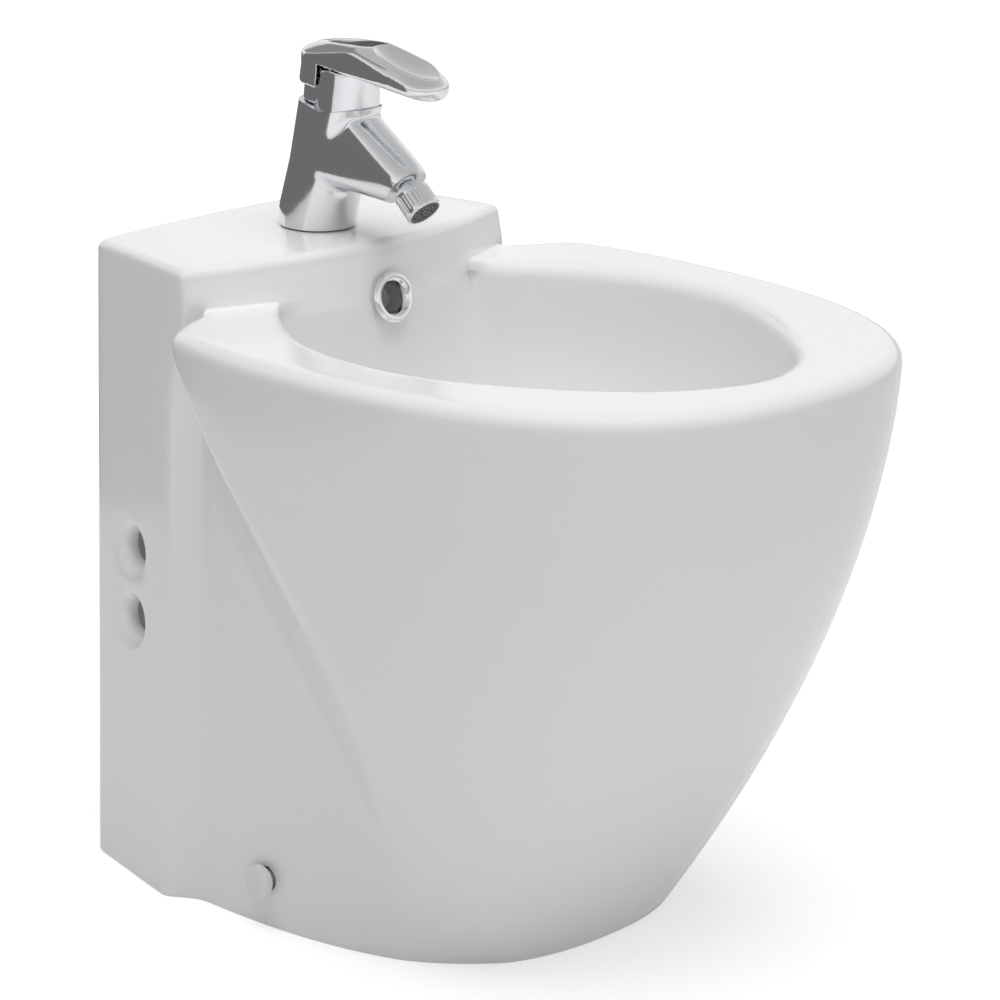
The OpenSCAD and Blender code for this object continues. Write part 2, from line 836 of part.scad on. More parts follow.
module handle_outside() {
    // rear skirt
    hull() {
        translate([-skirt_rear + skirt_half, 0, skirt_z]) disc(skirt_half, 1);
        translate([-skirt_rear + skirt_half + 1, 0, 112]) disc(skirt_half - 0.4, 2);
    }
    // cap over the neck
    hull() {
        translate([-skirt_rear + skirt_half, 0, lip_z - 2]) disc(skirt_half, 7);
        translate([-15, 0, 120]) disc(12, 1.5);
        translate([22, 0, lip_z + 1]) disc(19, 11);
        translate([18, 0, 123]) disc(16, 4.5);
    }
    // paddle
    hull() {
        translate([22, 0, lip_z + 2]) disc(18.6, 10);
        translate([22, 0, 123]) disc(16, 4.5);
        translate([55, 0, 113]) disc(20.5, 10.5);
        translate([55, 0, 111]) disc(17, 15.6);
        translate([69, 0, 112]) disc(17, 8);
        translate([70.5, 0, 110.6]) disc(12.5, 12.4);
    }
}

module lever_handle() {
    color(chrome) at_neck(0) difference() {
        handle_outside();
        // space for the neck and for the skirt to drop as the lever lifts
        difference() {
            translate([0, 0, skirt_z - 1]) hull() {
                translate([-skirt_rear + skirt_half, 0, 0]) disc(skirt_half - handle_wall, 21);
                translate([-skirt_rear + skirt_half + 10, 0, 0]) disc(skirt_half - handle_wall, 21.5);
                translate([7, 0, 0]) disc(20, 20);
            }
            translate([-6.5, -7.5, pivot + 12]) cube([13, 15, 30]);
        }
        // the skirt's sides stop behind the neck
        translate([-15, -40, skirt_z - 1]) cube([60, 80, lip_z - skirt_z + 1]);
        // socket of the stem and its grub screw
        translate([-stem_half - 0.05, -stem_half - 0.05, pivot - 4])
            cube([2 * stem_half + 0.1, 2 * stem_half + 0.1, stem_top - pivot + 4.1]);
        grub_axis() translate([0, 0, -1]) cylinder(r = grub_r, h = 40);
        // finger dish in the paddle's top
        translate([54, 0, 140]) rotate([0, 5, 0]) scale([1.8, 0.9, 1]) sphere(r = 18, $fn = 40);
    }
}

grub_r = 2.2;
grub_z = 115.2;
grub_slope = 11;

// The grub screw enters from ahead, just above the neck's cover, and bears on the stem
module grub_axis() {
    translate([stem_half, 0, grub_z]) rotate([0, 90 + grub_slope, 0]) children();
}

module grub_screw() {
    color(steel) at_neck(0) grub_axis() difference() {
        translate([0, 0, 0.6]) cylinder(r = grub_r, h = 8);
        translate([0, 0, 5]) cylinder(r = 1 / cos(30), h = 5, $fn = 6);
    }
}

module index_cap() {
    color("steelblue") at_neck(0) grub_axis() translate([0, 0, 14.5]) cylinder(r = grub_r - 0.1, h = 4.5);
}

// ---------- nozzle ----------

ball_r = 8;
ball_z = 6;
cup_r = 9.6;

module nozzle_stub() {
    color(chrome) at_nozzle(0) difference() {
        union() {
            translate([0, 0, -stub_in]) cylinder(r = stub_thread_r, h = stub_in);
            translate([0, 0, -0.1]) cylinder(r = 5.4, h = 4);
            translate([0, 0, ball_z]) sphere(r = ball_r);
        }
        translate([0, 0, -stub_in - 1]) cylinder(r = 3.2, h = 40);
        translate([0, 0, ball_z + 6]) cylinder(r = 10, h = 10);
    }
}

module stub_washer() {
    color(rubber) at_nozzle(-stub_in - washer_t) ring(stub_thread_r - 0.1, 5, washer_t);
}

module ball_ring() {
    color(plastic) at_nozzle(ball_z) difference() {
        intersection() {
            sphere(r = cup_r);
            translate([0, 0, -3.5]) cylinder(r = cup_r + 1, h = 6);
        }
        sphere(r = ball_r + 0.05);
    }
}

nozzle_low = 22.5;
nozzle_top = 3;

module nozzle_head() {
    color(chrome) at_nozzle(0) difference() {
        rotate_extrude() polygon([[cup_r - 1, nozzle_top], [nozzle_r - 1.4, nozzle_top],
            [nozzle_r - 0.4, nozzle_top + 2.2], [nozzle_r, nozzle_top + 3], [nozzle_r, nozzle_low - 1],
            [nozzle_r - 0.8, nozzle_low], [nozzle_r - 1.6, nozzle_low], [nozzle_r - 1.6, ball_z + 7.5],
            [cup_r - 1, ball_z + 7.5]]);
        translate([0, 0, ball_z]) sphere(r = cup_r + 0.05);
        translate([0, 0, ball_z]) cylinder(r = cup_r + 0.05, h = 8);
        for (a = [0 : 15 : 345]) rotate(a) translate([nozzle_r + 0.55, 0, 9]) cylinder(r = 0.9, h = 9);
    }
}

module nozzle_seal() {
    color(rubber) at_nozzle(ball_z + 5) ring(cup_r, 6.6, 1.6);
}

module aerator() {
    color("darkgray") at_nozzle(ball_z + 7.6) difference() {
        cylinder(r = nozzle_r - 1.7, h = nozzle_low - ball_z - 8.4);
        for (row = [1 : 3], k = [0 : 6 * row - 1]) rotate(360 * k / (6 * row))
            translate([2.6 * row, 0, -1]) cylinder(r = 0.8, h = 20);
    }
}

ceramic_body();
overflow_ring();
floor_brackets();
side_screws();
side_sleeves();
screw_caps();
waste_flange();
flange_gasket();
cone_gasket();
waste_nut();
plug_cap();
plug_seal();
plug_stem();
click_barrel();
click_spring();
trap_inlet_nut();
trap_inlet_seal();
dip_tube();
trap_body();
trap_cup();
trap_cup_seal();
outlet_nut();
outlet_seal();
outlet_pipe();
tap_body();
tap_gasket();
tap_stud();
clamp_rubber();
clamp_plate();
stud_nut();
cartridge();
cartridge_seals();
cartridge_nut();
stem_carrier();
neck_cover();
lever_stem();
stem_pin();
lever_handle();
grub_screw();
index_cap();
nozzle_stub();
stub_washer();
ball_ring();
nozzle_head();
aerator();
nozzle_seal();
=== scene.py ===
"""Floor-standing bidet: the looks of its pieces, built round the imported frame.

Sizes in this file are millimetres unless a name says otherwise. +Z is up, the wall is at +Y.
In names, D is a distance from the wall, Z a height above the floor and X one from the middle.
"""
import math

import bmesh
import bpy
from mathutils import Matrix, Vector


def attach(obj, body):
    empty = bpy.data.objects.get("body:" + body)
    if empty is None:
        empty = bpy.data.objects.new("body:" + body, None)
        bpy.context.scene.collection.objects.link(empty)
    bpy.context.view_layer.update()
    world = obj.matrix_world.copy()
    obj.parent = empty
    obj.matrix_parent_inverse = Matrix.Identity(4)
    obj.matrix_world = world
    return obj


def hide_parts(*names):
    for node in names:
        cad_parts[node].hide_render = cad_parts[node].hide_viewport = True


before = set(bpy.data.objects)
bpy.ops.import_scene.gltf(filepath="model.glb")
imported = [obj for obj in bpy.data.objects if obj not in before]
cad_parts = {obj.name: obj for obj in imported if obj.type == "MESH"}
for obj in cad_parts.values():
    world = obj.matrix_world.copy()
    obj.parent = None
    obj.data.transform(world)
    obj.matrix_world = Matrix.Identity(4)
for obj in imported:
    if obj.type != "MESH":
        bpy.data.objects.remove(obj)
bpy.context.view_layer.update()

bl_info = {
    "name": "Floor-standing bidet",
    "version": (1, 0, 0),
    "blender": (4, 5, 0),
    "location": "View3D > Sidebar > Bidet",
    "description": "Models the ceramic, tap, waste and trap of a floor-standing bidet",
    "category": "Add Mesh",
}

MM = 0.001
SEAM = 0.02 * MM
DEPTH = 522.0
WALL = 13.0
RIM_Z = 400.0
DECK_Z = 429.0
WASTE_D = 265.0
TAP_D = 83.0
TAP_Z = 430.0
TAP_HOLE_R = 17.5
FIXING_D = 182.0
FIXING_Z = 32.5
FIXING_X = 145.0
OVERFLOW_D = 156.0
OVERFLOW_Z = 392.0
OVERFLOW_LEAN = 13.0
PLUG_Z = 264.5


# ---------- numbers and small helpers ----------

def mix(a, b, k):
    return a + (b - a) * k


def smooth_step(k):
    k = min(1.0, max(0.0, k))
    return k * k * (3 - 2 * k)


def swell(t, power):
    return 1 - (1 - t) ** power


def super_half(u, n):
    return max(0.0, 1 - max(0.0, u) ** n) ** (1 / n)


def arc(a, corner, b, steps):
    """Points of a soft corner from a to b, which bends towards the corner."""
    points = []
    for k in range(steps + 1):
        t = k / steps
        points.append(tuple((1 - t) ** 2 * p + 2 * t * (1 - t) * q + t * t * r
                            for p, q, r in zip(a, corner, b)))
    return points


def toward(a, b, length):
    """The point that lies a length from a on the way to b."""
    gap = math.dist(a, b)
    return tuple(mix(p, q, min(1.0, length / gap)) for p, q in zip(a, b))


def line(a, b, steps):
    return [tuple(mix(p, q, k / steps) for p, q in zip(a, b)) for k in range(steps + 1)]


def at(x, d, z):
    """World place in metres of a point x from the middle, d from the wall, z above the floor."""
    return Vector((x * MM, (DEPTH / 2 - d) * MM, z * MM))


def sheet(bm, columns, rows, place):
    """Lays a grid of faces whose corner (i, j) is where place says."""
    made = bmesh.ops.create_grid(bm, x_segments=columns, y_segments=rows, size=1)["verts"]
    for v in made:
        i = round((v.co.x + 1) / 2 * columns)
        j = round((v.co.y + 1) / 2 * rows)
        v.co = place(i, j)


def corners(geom):
    return [v for v in geom if isinstance(v, bmesh.types.BMVert)]


def draw_in(bm, edges, place):
    """Extrudes a loop of edges, moves each new corner to where place says, returns the new loop."""
    geom = bmesh.ops.extrude_edge_only(bm, edges=edges)["geom"]
    new = set(corners(geom))
    for v in new:
        v.co = place(v.co)
    return [e for e in geom if isinstance(e, bmesh.types.BMEdge)
            and e.verts[0] in new and e.verts[1] in new]


def bridge(bm, inside):
    """Joins the open loops whose edges have their middles where inside says."""
    edges = [e for e in bm.edges if len(e.link_faces) == 1
             and inside((e.verts[0].co + e.verts[1].co) / 2 / MM)]
    bmesh.ops.bridge_loops(bm, edges=edges)


# ---------- outlines of the ceramic ----------

# Half widths of the column on the floor and at the deck, at its back and at its front edge
COLUMN_BACK = (137.0, 122.0)
COLUMN_FRONT = (159.0, 139.0)
COLUMN_EDGE_D = 98.0
# Top of the opening to the wall, from where the column's edge comes forward to the rim
HEAD_Z = 330.0
HEAD_FORWARD = 16.1
# Pedestal: the smaller oval between column and bowl, a step in from the column
PEDESTAL_D = 119.0
PEDESTAL_STEP = 14.0
STEP_D = 120.0
# Shell of the bowl: where it is widest, its half widths and its front on the floor and at the rim
SHELL_D = 242.0
SHELL_HALF = (127.0, 194.0)
SHELL_FRONT = (351.0, DEPTH)
SHELL_PINCH = 80.0
# Fold between pedestal and shell: its place at the rim, and how far forward it runs to the floor
FOLD_D = 137.0
FOLD_RUN = 178.0
# Front face of the deck at its corners and its middle, and how far it leans down to the overflow
DECK_CORNER_D = 111.0
DECK_MIDDLE_D = 146.0
DECK_LEAN = 8.0


def column_x(z, d):
    level = z / DECK_Z
    return mix(mix(*COLUMN_BACK, level), mix(*COLUMN_FRONT, level), d / COLUMN_EDGE_D)


def shell_x(t, d, e):
    """Half width of the bowl's shell at a share t of the rim's height."""
    side = mix(*SHELL_HALF, swell(t, 1.95)) - e
    front = shell_front(t) - e
    pinch = SHELL_PINCH * (max(0.0, SHELL_D - d) / SHELL_D) ** 2
    return side * super_half((d - SHELL_D) / (front - SHELL_D), mix(2.3, 2.56, t)) - pinch


def shell_front(t):
    return mix(*SHELL_FRONT, swell(t, 1.72))


def pedestal_half(z):
    return column_x(z, COLUMN_EDGE_D) - PEDESTAL_STEP


def pedestal_x(z, d):
    length = SHELL_FRONT[0] - PEDESTAL_D
    return pedestal_half(z) * super_half((d - PEDESTAL_D) / length, 2.5)


def deck_lean(z):
    return DECK_LEAN * (DECK_Z - z) / (DECK_Z - OVERFLOW_Z)


def deck_front(x, z):
    """Distance from the wall of the deck's front face, which leans forward as it goes down."""
    lean = deck_lean(z)
    corner = DECK_CORNER_D + lean / 2
    half = column_x(z, corner)
    return corner + (DECK_MIDDLE_D + lean - corner) * (1 - (x / half) ** 2)


# Steps of the half outline, from the middle of the wall to the front of the bowl
OPENING_STEPS = 7
BACK_STEPS = 3
CORNER_STEPS = 5
HOLE_LINES = 6
LEDGE_STEPS = 2
NOTCH_STEPS = 6
FLANK_STEPS = 12
FOLD_STEPS = 7
SHELL_STEPS = 26
EDGE_END = OPENING_STEPS + BACK_STEPS + CORNER_STEPS + 2 + HOLE_LINES + 2 + CORNER_STEPS
NOTCH = EDGE_END + LEDGE_STEPS + NOTCH_STEPS // 2
SHELL_START = NOTCH + NOTCH_STEPS // 2 + FLANK_STEPS + FOLD_STEPS
OUTLINE_STEPS = SHELL_START + SHELL_STEPS
BACK_HALF = 88.0
BACK_R = 9.0
HOLE_D = 50.0
HOLE_REACH = 23.75


def column_part(z, e, edge_d, notch):
    """The column's points, from the middle of its back round its front edge, on towards notch."""
    points = line((0.0, e), (BACK_HALF, e), OPENING_STEPS)
    corner = (column_x(z, e) - e, e)
    start = (corner[0] - BACK_R, e)
    points += line((BACK_HALF, e), start, BACK_STEPS)[1:]
    points += arc(start, corner, (column_x(z, e + BACK_R) - e, e + BACK_R), CORNER_STEPS)[1:]
    side = [17.6 + e / 2]
    side += [HOLE_D - HOLE_REACH + 2 * HOLE_REACH * k / HOLE_LINES for k in range(HOLE_LINES + 1)]
    side += [mix(HOLE_D + HOLE_REACH, edge_d - 5.0, 0.5), edge_d - 5.0]
    points += [(column_x(z, d) - e, d) for d in side]
    edge = (column_x(z, edge_d) - e, edge_d)
    return points + arc(points[-1], edge, toward(edge, notch, 4.0), CORNER_STEPS)[1:]


def outline(z, e=0.0, rim_e=0.0):
    """Half outline at height z as (x, d), which above the rim ends at the deck's notch.

    e insets all of it and rim_e the bowl's shell alone.
    """
    notch_x = pedestal_half(z) - e
    if z > RIM_Z:
        edge_d = DECK_CORNER_D + deck_lean(z) / 2 - 0.4 * e
        points = column_part(z, e, edge_d, (notch_x, deck_front(notch_x, z) - e))
        steps = NOTCH - EDGE_END
        deck_xs = [mix(points[-1][0], notch_x, k / steps) for k in range(1, steps + 1)]
        return points + [(x, deck_front(x, z) - e) for x in deck_xs]

    t = z / RIM_Z
    edge_d = COLUMN_EDGE_D + HEAD_FORWARD * smooth_step((z - HEAD_Z) / (RIM_Z - HEAD_Z)) - 0.4 * e
    edge = (column_x(z, edge_d) - e, edge_d)
    notch = (notch_x, STEP_D - 0.2 * e)
    points = column_part(z, e, edge_d, notch)

    se = e + rim_e
    fold = FOLD_D + FOLD_RUN * (1 - t ** 3.3) ** 1.7 + se
    reach = fold - PEDESTAL_D
    out = shell_x(t, fold, se) - pedestal_x(z, fold) + e
    power = mix(5.0, 1.6, smooth_step(t / 0.75))

    def flank(d):
        return (pedestal_x(z, d) - e + out * (max(0.0, d - PEDESTAL_D) / reach) ** power, d)

    notch_in = toward(notch, edge, 5.0)
    notch_out = flank(STEP_D + min(12.0, 0.35 * reach))
    points += line(points[-1], notch_in, LEDGE_STEPS)[1:]
    points += arc(notch_in, notch, notch_out, NOTCH_STEPS)[1:]

    soft = mix(30.0, 14.0, smooth_step(t * 1.15 - 0.15))
    flank_end = flank(fold - min(soft, 0.40 * reach))
    points += [flank(mix(notch_out[1], flank_end[1], k / FLANK_STEPS))
               for k in range(1, FLANK_STEPS + 1)]
    front = shell_front(t) - se
    shell_d = fold + min(soft, 0.6 * (front - fold))
    points += arc(flank_end, flank(fold), (shell_x(t, shell_d, se), shell_d), FOLD_STEPS)[1:]
    for k in range(1, SHELL_STEPS):
        d = shell_d + (front - shell_d) * math.sin(math.pi / 2 * k / SHELL_STEPS)
        points.append((shell_x(t, d, se), d))
    return points + [(0.0, front)]


def along(points, shares):
    """The points at the given shares of the length of a line of points."""
    lengths = [0.0]
    for a, b in zip(points, points[1:]):
        lengths.append(lengths[-1] + math.dist(a, b))
    result = []
    for share in shares:
        want = share * lengths[-1]
        n = max(i for i, length in enumerate(lengths[:-1]) if length <= want + 1e-9)
        step = lengths[n + 1] - lengths[n]
        result.append(tuple(mix(p, q, (want - lengths[n]) / step)
                            for p, q in zip(points[n], points[n + 1])))
    return result


def rounded_path(knots, steps):
    """A smooth curve through the knots, the last of which is the middle and is passed square on."""
    ends = [knots[0], *knots, (-knots[-2][0], knots[-2][1])]
    points = []
    for k in range(len(knots) - 1):
        p0, p1, p2, p3 = ends[k:k + 4]
        for s in range(steps):
            t = s / steps
            points.append(tuple(
                0.5 * (2 * b + (c - a) * t + (2 * a - 5 * b + 4 * c - d) * t * t
                       + (3 * b - a - 3 * c + d) * t ** 3)
                for a, b, c, d in zip(p0, p1, p2, p3)))
    points.append(tuple(knots[-1]))
    return points


# Inner edge of the rim, from the deck's front face to the middle of the front
BASIN_EDGE = rounded_path(
    [(86.0, 142.0), (99.0, 160.0), (117.0, 187.0), (132.0, 217.0), (140.5, 250.0), (142.5, 285.0),
     (139.5, 320.0), (130.5, 350.0), (113.5, 383.0), (86.0, 424.0), (50.0, 458.0), (0.0, 476.0)], 8)


def soften(ring, corner, reach):
    """Evens out a ring of points round one of its corners."""
    result = list(ring)
    for k in range(max(1, corner - reach), min(len(ring) - 1, corner + reach)):
        result[k] = tuple((a + 2 * b + c) / 4 for a, b, c in zip(*ring[k - 1:k + 2]))
    return result


FOOT_STEPS = 10
PLATFORM_STEPS = 7
EDGE_STEPS = 7
BASIN_STEPS = 20
DECK_STEPS = 8
BASIN_COLUMNS = FOOT_STEPS + OUTLINE_STEPS - NOTCH
BASIN_D = 300.0
FOOT_HALF = 86.0
FOOT_INSET = 1.0
# Columns of faces over which a rounding fades in beside the notch
FADE_STEPS = 6
# Rim's edge length from the notch to the fold, as a share of all of it
FLANK_SHARE = 0.17
SIDE_HOLES_Z = (179.0, 226.5)
SIDE_HOLE_R = 11.5
# Radius and depth of the rings that dish a side hole
SIDE_HOLE_RINGS = ((21.0, 0.0), (18.5, 0.9), (16.2, 2.4), (14.2, 4.4), (12.6, 7.0),
                   (SIDE_HOLE_R, 10.0))
# Radii and heights that lead from the bowl's bottom through the waste hole, outside and inside
WASTE_RINGS = (((33.0, 256.0), (33.0, 253.0), (22.5, 253.0), (22.5, 236.0)),
               ((37.0, 218.0), (22.5, 218.0)))


def basin(s, power):
    return max(0.0, 1 - s ** power) ** (1 / power)


def edge_turns():
    """Angles of the steps round a rounded edge."""
    return [math.radians(k * 90 / EDGE_STEPS) for k in range(1, EDGE_STEPS + 1)]


def round_hole(x, d, hole_d, r):
    """The point of a round hole in the middle, hole_d from the wall, that faces (x, d)."""
    gap = math.hypot(x, d - hole_d)
    return r * x / gap, hole_d + r * (d - hole_d) / gap


class Shape:
    """One skin of the casting: the outside, or the inside a wall's thickness within it.

    e is how far it lies within the outside, thick the same for the bowl, low and hole are the
    bowl's lowest height and the radius that it ends on.
    """

    def __init__(self, inner):
        self.inner = inner
        self.e = WALL if inner else 0.0
        self.rim = 384.0 if inner else RIM_Z
        self.deck = 415.0 if inner else DECK_Z
        self.rim_r = 3.0 if inner else 11.0
        self.deck_r = 3.0 if inner else 6.0
        self.thick = 12.0 if inner else 0.0
        self.low = 240.0 if inner else 256.0
        self.hole = 37.0 if inner else 36.0
        self.foot = self.make_foot()
        edge = along(BASIN_EDGE, self.edge_shares())
        edge[0] = self.foot[PLATFORM_STEPS]
        self.edge = self.grow(edge, self.thick) if inner else edge

    def edge_shares(self):
        """Shares of the rim's inner edge at which the outline's steps from the notch on meet it."""
        flank = SHELL_START - NOTCH
        count = OUTLINE_STEPS - NOTCH
        rest = 1 - FLANK_SHARE
        return [FLANK_SHARE * k / flank if k < flank else
                FLANK_SHARE + rest * ((k - flank) / (count - flank)) ** 0.92
                for k in range(count + 1)]

    def grow(self, points, by):
        """Moves the rim's inner edge outwards, away from the bowl."""
        result = []
        for k, p in enumerate(points):
            a, b = points[max(0, k - 1)], points[min(len(points) - 1, k + 1)]
            dx, dd = b[0] - a[0], b[1] - a[1]
            size = math.hypot(dx, dd)
            fade = smooth_step(k / 5)
            result.append((p[0] + by * fade * dd / size, p[1] - by * fade * dx / size))
        result[-1] = (0.0, result[-1][1])
        return result

    def make_foot(self):
        """Where the deck's front face meets the rim and the bowl, from the notch to the middle."""
        start = outline(self.rim, self.e)[NOTCH]
        end_x = FOOT_HALF - 0.5 * self.thick
        xs = [mix(start[0], end_x, k / PLATFORM_STEPS) for k in range(PLATFORM_STEPS + 1)]
        xs += [end_x * (1 - k / FOOT_STEPS) for k in range(1, FOOT_STEPS + 1)]
        return [start] + [(x, self.foot_d(x)) for x in xs[1:]]

    def foot_d(self, x):
        return deck_front(x, self.rim) - self.e

    # -- outside wall, from the floor to the rim --

    def wall_rows(self):
        rows = [0.0, 1.5, 10.0, 20.0, 32.0, 44.0, 57.0, 70.0, 84.0, 98.0, 112.0, 126.0, 141.0]
        low = SIDE_HOLES_Z[0] - HOLE_REACH
        rows += [low + 2 * HOLE_REACH * k / HOLE_LINES for k in range(2 * HOLE_LINES + 1)]
        rows += [260.0, 270.0, 280.0, 290.0, 300.0, 310.0, 320.0, HEAD_Z]
        head = [10.0, 18.0, 25.0, 31.0, 37.0, 42.0, 47.0, 51.0, 55.0, 58.5, 62.0]
        straight = self.rim - self.rim_r
        rows += [mix(HEAD_Z, straight, rise / head[-1]) for rise in head]
        return [(z, 0.0) for z in rows] + [
            (self.rim - self.rim_r * (1 - math.sin(a)), self.rim_r * (1 - math.cos(a)))
            for a in edge_turns()]

    def wall(self, bm):
        rings = []
        for z, inset in self.wall_rows():
            ring = outline(z, self.e + (FOOT_INSET if z == 0.0 and not self.inner else 0.0))
            if inset:
                narrower = outline(z, self.e, inset)
                for k in range(NOTCH, OUTLINE_STEPS + 1):
                    fade = smooth_step((k - NOTCH) / FADE_STEPS)
                    ring[k] = tuple(mix(p, q, fade) for p, q in zip(ring[k], narrower[k]))
            rings.append((z, ring))
        sheet(bm, OUTLINE_STEPS, len(rings) - 1, lambda i, j: at(*rings[j][1][i], rings[j][0]))
        self.rim_ring = rings[-1][1]

    # -- flat rim between the shell and the bowl --

    def platform(self, bm):
        edge = self.edge_ring(0.0)

        def place(i, j):
            if i == 0:
                return at(*self.foot[j], self.rim)
            outer, inner = self.rim_ring[NOTCH + i], edge[i]
            k = j / PLATFORM_STEPS
            near = smooth_step(i / FADE_STEPS)
            x, d = (mix(p, q, k) for p, q in zip(outer, inner))
            return at(x, mix(d, max(d, self.foot_d(x)), 1 - near), self.rim)

        sheet(bm, OUTLINE_STEPS - NOTCH, PLATFORM_STEPS, place)

    def edge_ring(self, turn):
        """The rim's inner edge part of the way round its rounding: 0 is on top, 1 in the bowl."""
        return self.grow(self.edge, self.rim_r * (1 - math.sin(turn * math.pi / 2)))

    # -- bowl --

    def bowl(self, bm):
        rear = self.foot[PLATFORM_STEPS:][::-1]
        rings = []
        for k in range(EDGE_STEPS + 1):
            turn = k / EDGE_STEPS
            z = self.rim - self.rim_r * (1 - math.cos(turn * math.pi / 2))
            back = [(x, deck_front(x, z) - self.e) for x, _ in rear]
            rings.append([(*p, z) for p in back[:-1] + self.edge_ring(turn)])
        top = rings[-1]
        for k in range(1, BASIN_STEPS + 1):
            s = math.sin(math.pi / 2 * k / BASIN_STEPS)
            z = mix(top[0][2], self.low, s)
            ring = []
            for x, d, _ in top:
                dd = d - BASIN_D
                gap = math.hypot(x, dd)
                end = (self.hole * x / gap, WASTE_D + self.hole * dd / gap)
                wide = basin(s, 2.6)
                deep = basin(s, 2.4 if dd > 0 else 1.9)
                ring.append((mix(end[0], x, wide), mix(end[1], d, deep), z))
            for _ in range(3 + 2 * k):
                ring = soften(ring, FOOT_STEPS, 4 + k // 2)
            rings.append(ring)
        last = rings[-1]
        for r, z in WASTE_RINGS[self.inner]:
            rings.append([(*round_hole(x, d, WASTE_D, r), z) for x, d, _ in last])
        sheet(bm, BASIN_COLUMNS, len(rings) - 1, lambda i, j: at(*rings[j][i]))

    # -- deck --

    def crown(self, x, d):
        """Height of the deck, which outside falls a little towards its sides and its ends."""
        fall = 3.6 * (x / 140.0) ** 2 + 1.2 * ((d - TAP_D) / TAP_D) ** 2
        return self.deck - (0.0 if self.inner else fall)

    def deck_ring(self, z, inset=0.0):
        if z <= self.rim:
            return self.rim_ring[:NOTCH] + self.foot
        e = self.e + inset
        ring = outline(max(z, RIM_Z + 0.1), e)
        share = ring[-1][0] / self.foot[0][0]
        return ring[:-1] + [(x * share, deck_front(x * share, z) - e) for x, _ in self.foot]

    def top(self, bm):
        rings = [[(*p, self.rim) for p in self.deck_ring(self.rim)]]
        wall_top = self.deck - self.deck_r
        for k in range(1, CORNER_STEPS + 1):
            share = k / CORNER_STEPS
            ring = self.deck_ring(mix(self.rim, wall_top, share))
            rings.append([(x, d, mix(self.rim, self.crown(x, d) - self.deck_r, share))
                          for x, d in ring])
        for a in edge_turns():
            ring = self.deck_ring(wall_top, self.deck_r * (1 - math.cos(a)))
            rings.append([(x, d, self.crown(x, d) - self.deck_r * (1 - math.sin(a)))
                          for x, d in ring])
        last = rings[-1]
        for k in range(1, DECK_STEPS + 1):
            ring = []
            for x, d, _ in last:
                hole = round_hole(x, d, TAP_D, TAP_HOLE_R)
                x, d = mix(x, hole[0], k / DECK_STEPS), mix(d, hole[1], k / DECK_STEPS)
                ring.append((x, d, self.crown(x, d)))
            rings.append(ring)
        sheet(bm, len(last) - 1, len(rings) - 1, lambda i, j: at(*rings[j][i]))


def casting_skin(inner):
    """One closed half skin, mirrored to the whole."""
    bm = bmesh.new()
    shape = Shape(inner)
    shape.wall(bm)
    shape.platform(bm)
    shape.bowl(bm)
    shape.top(bm)
    bmesh.ops.remove_doubles(bm, verts=bm.verts[:], dist=SEAM)
    bmesh.ops.mirror(bm, geom=bm.verts[:] + bm.edges[:] + bm.faces[:], axis="X",
                     merge_dist=SEAM)
    return bm


def carve(bm, inner):
    """Takes the opening to the wall out of a skin."""
    e = WALL if inner else 0.0

    def gone(f):
        c = f.calc_center_median() / MM
        return DEPTH / 2 - c.y < e + 1.2 and abs(c.x) < BACK_HALF and c.z < HEAD_Z

    bmesh.ops.delete(bm, geom=[f for f in bm.faces if gone(f)], context="FACES")


def side_hole(bm, side, z, inner):
    """Replaces a square patch of the column's side by a dished hole."""
    e = WALL if inner else 0.0

    def gone(f):
        c = f.calc_center_median() / MM
        d = DEPTH / 2 - c.y
        return (abs(c.x * side - (column_x(c.z, d) - e)) < 2.0
                and abs(d - HOLE_D) < HOLE_REACH and abs(c.z - z) < HOLE_REACH)

    patch = [f for f in bm.faces if gone(f)]
    inside = set(patch)
    edges = [edge for edge in {edge for f in patch for edge in f.edges}
             if any(f not in inside for f in edge.link_faces)]
    bmesh.ops.delete(bm, geom=patch, context="FACES")
    middle = at(0.0, HOLE_D, z)
    for r, depth in ((SIDE_HOLE_R, 0.0),) if inner else SIDE_HOLE_RINGS:
        def place(co, r=r, depth=depth):
            out = Vector((0.0, co.y - middle.y, co.z - middle.z)).normalized() * r * MM
            wall = column_x((middle.z + out.z) / MM, HOLE_D - out.y / MM) - e - depth
            return Vector((side * wall * MM, middle.y + out.y, middle.z + out.z))

        edges = draw_in(bm, edges, place)


def near_side_hole(side, z):
    def inside(c):
        r = math.hypot(DEPTH / 2 - c.y - HOLE_D, c.z - z)
        return c.x * side > BACK_HALF and abs(r - SIDE_HOLE_R) < 0.6
    return inside


def near_bore(d, r, low):
    """Tells whether a point lies within r of the upright axis at d, above low."""
    return lambda c: math.hypot(c.x, DEPTH / 2 - c.y - d) < r and c.z > low


def casting():
    """The ceramic as one closed wall: outside, inside, wall opening, side holes and bores."""
    outside, inside = casting_skin(False), casting_skin(True)
    holes = [(side, z) for side in (-1, 1) for z in SIDE_HOLES_Z]
    for skin, inner in ((outside, False), (inside, True)):
        carve(skin, inner)
        for side, z in holes:
            side_hole(skin, side, z, inner)
    bm = joined(outside, inside)
    for side, z in holes:
        bridge(bm, near_side_hole(side, z))
    bridge(bm, near_bore(WASTE_D, 23.0, 200.0))
    bridge(bm, near_bore(TAP_D, TAP_HOLE_R + 0.5, RIM_Z))
    bridge(bm, lambda c: True)
    return bm


def joined(*parts):
    """One bmesh out of several, which are used up."""
    bm = bmesh.new()
    for part in parts:
        mesh = bpy.data.meshes.new("part")
        part.to_mesh(mesh)
        part.free()
        bm.from_mesh(mesh)
        bpy.data.meshes.remove(mesh)
    return bm


# ---------- making pieces ----------

# Shading breaks over edges that turn further than this
SHARP_ANGLE = math.radians(34.0)
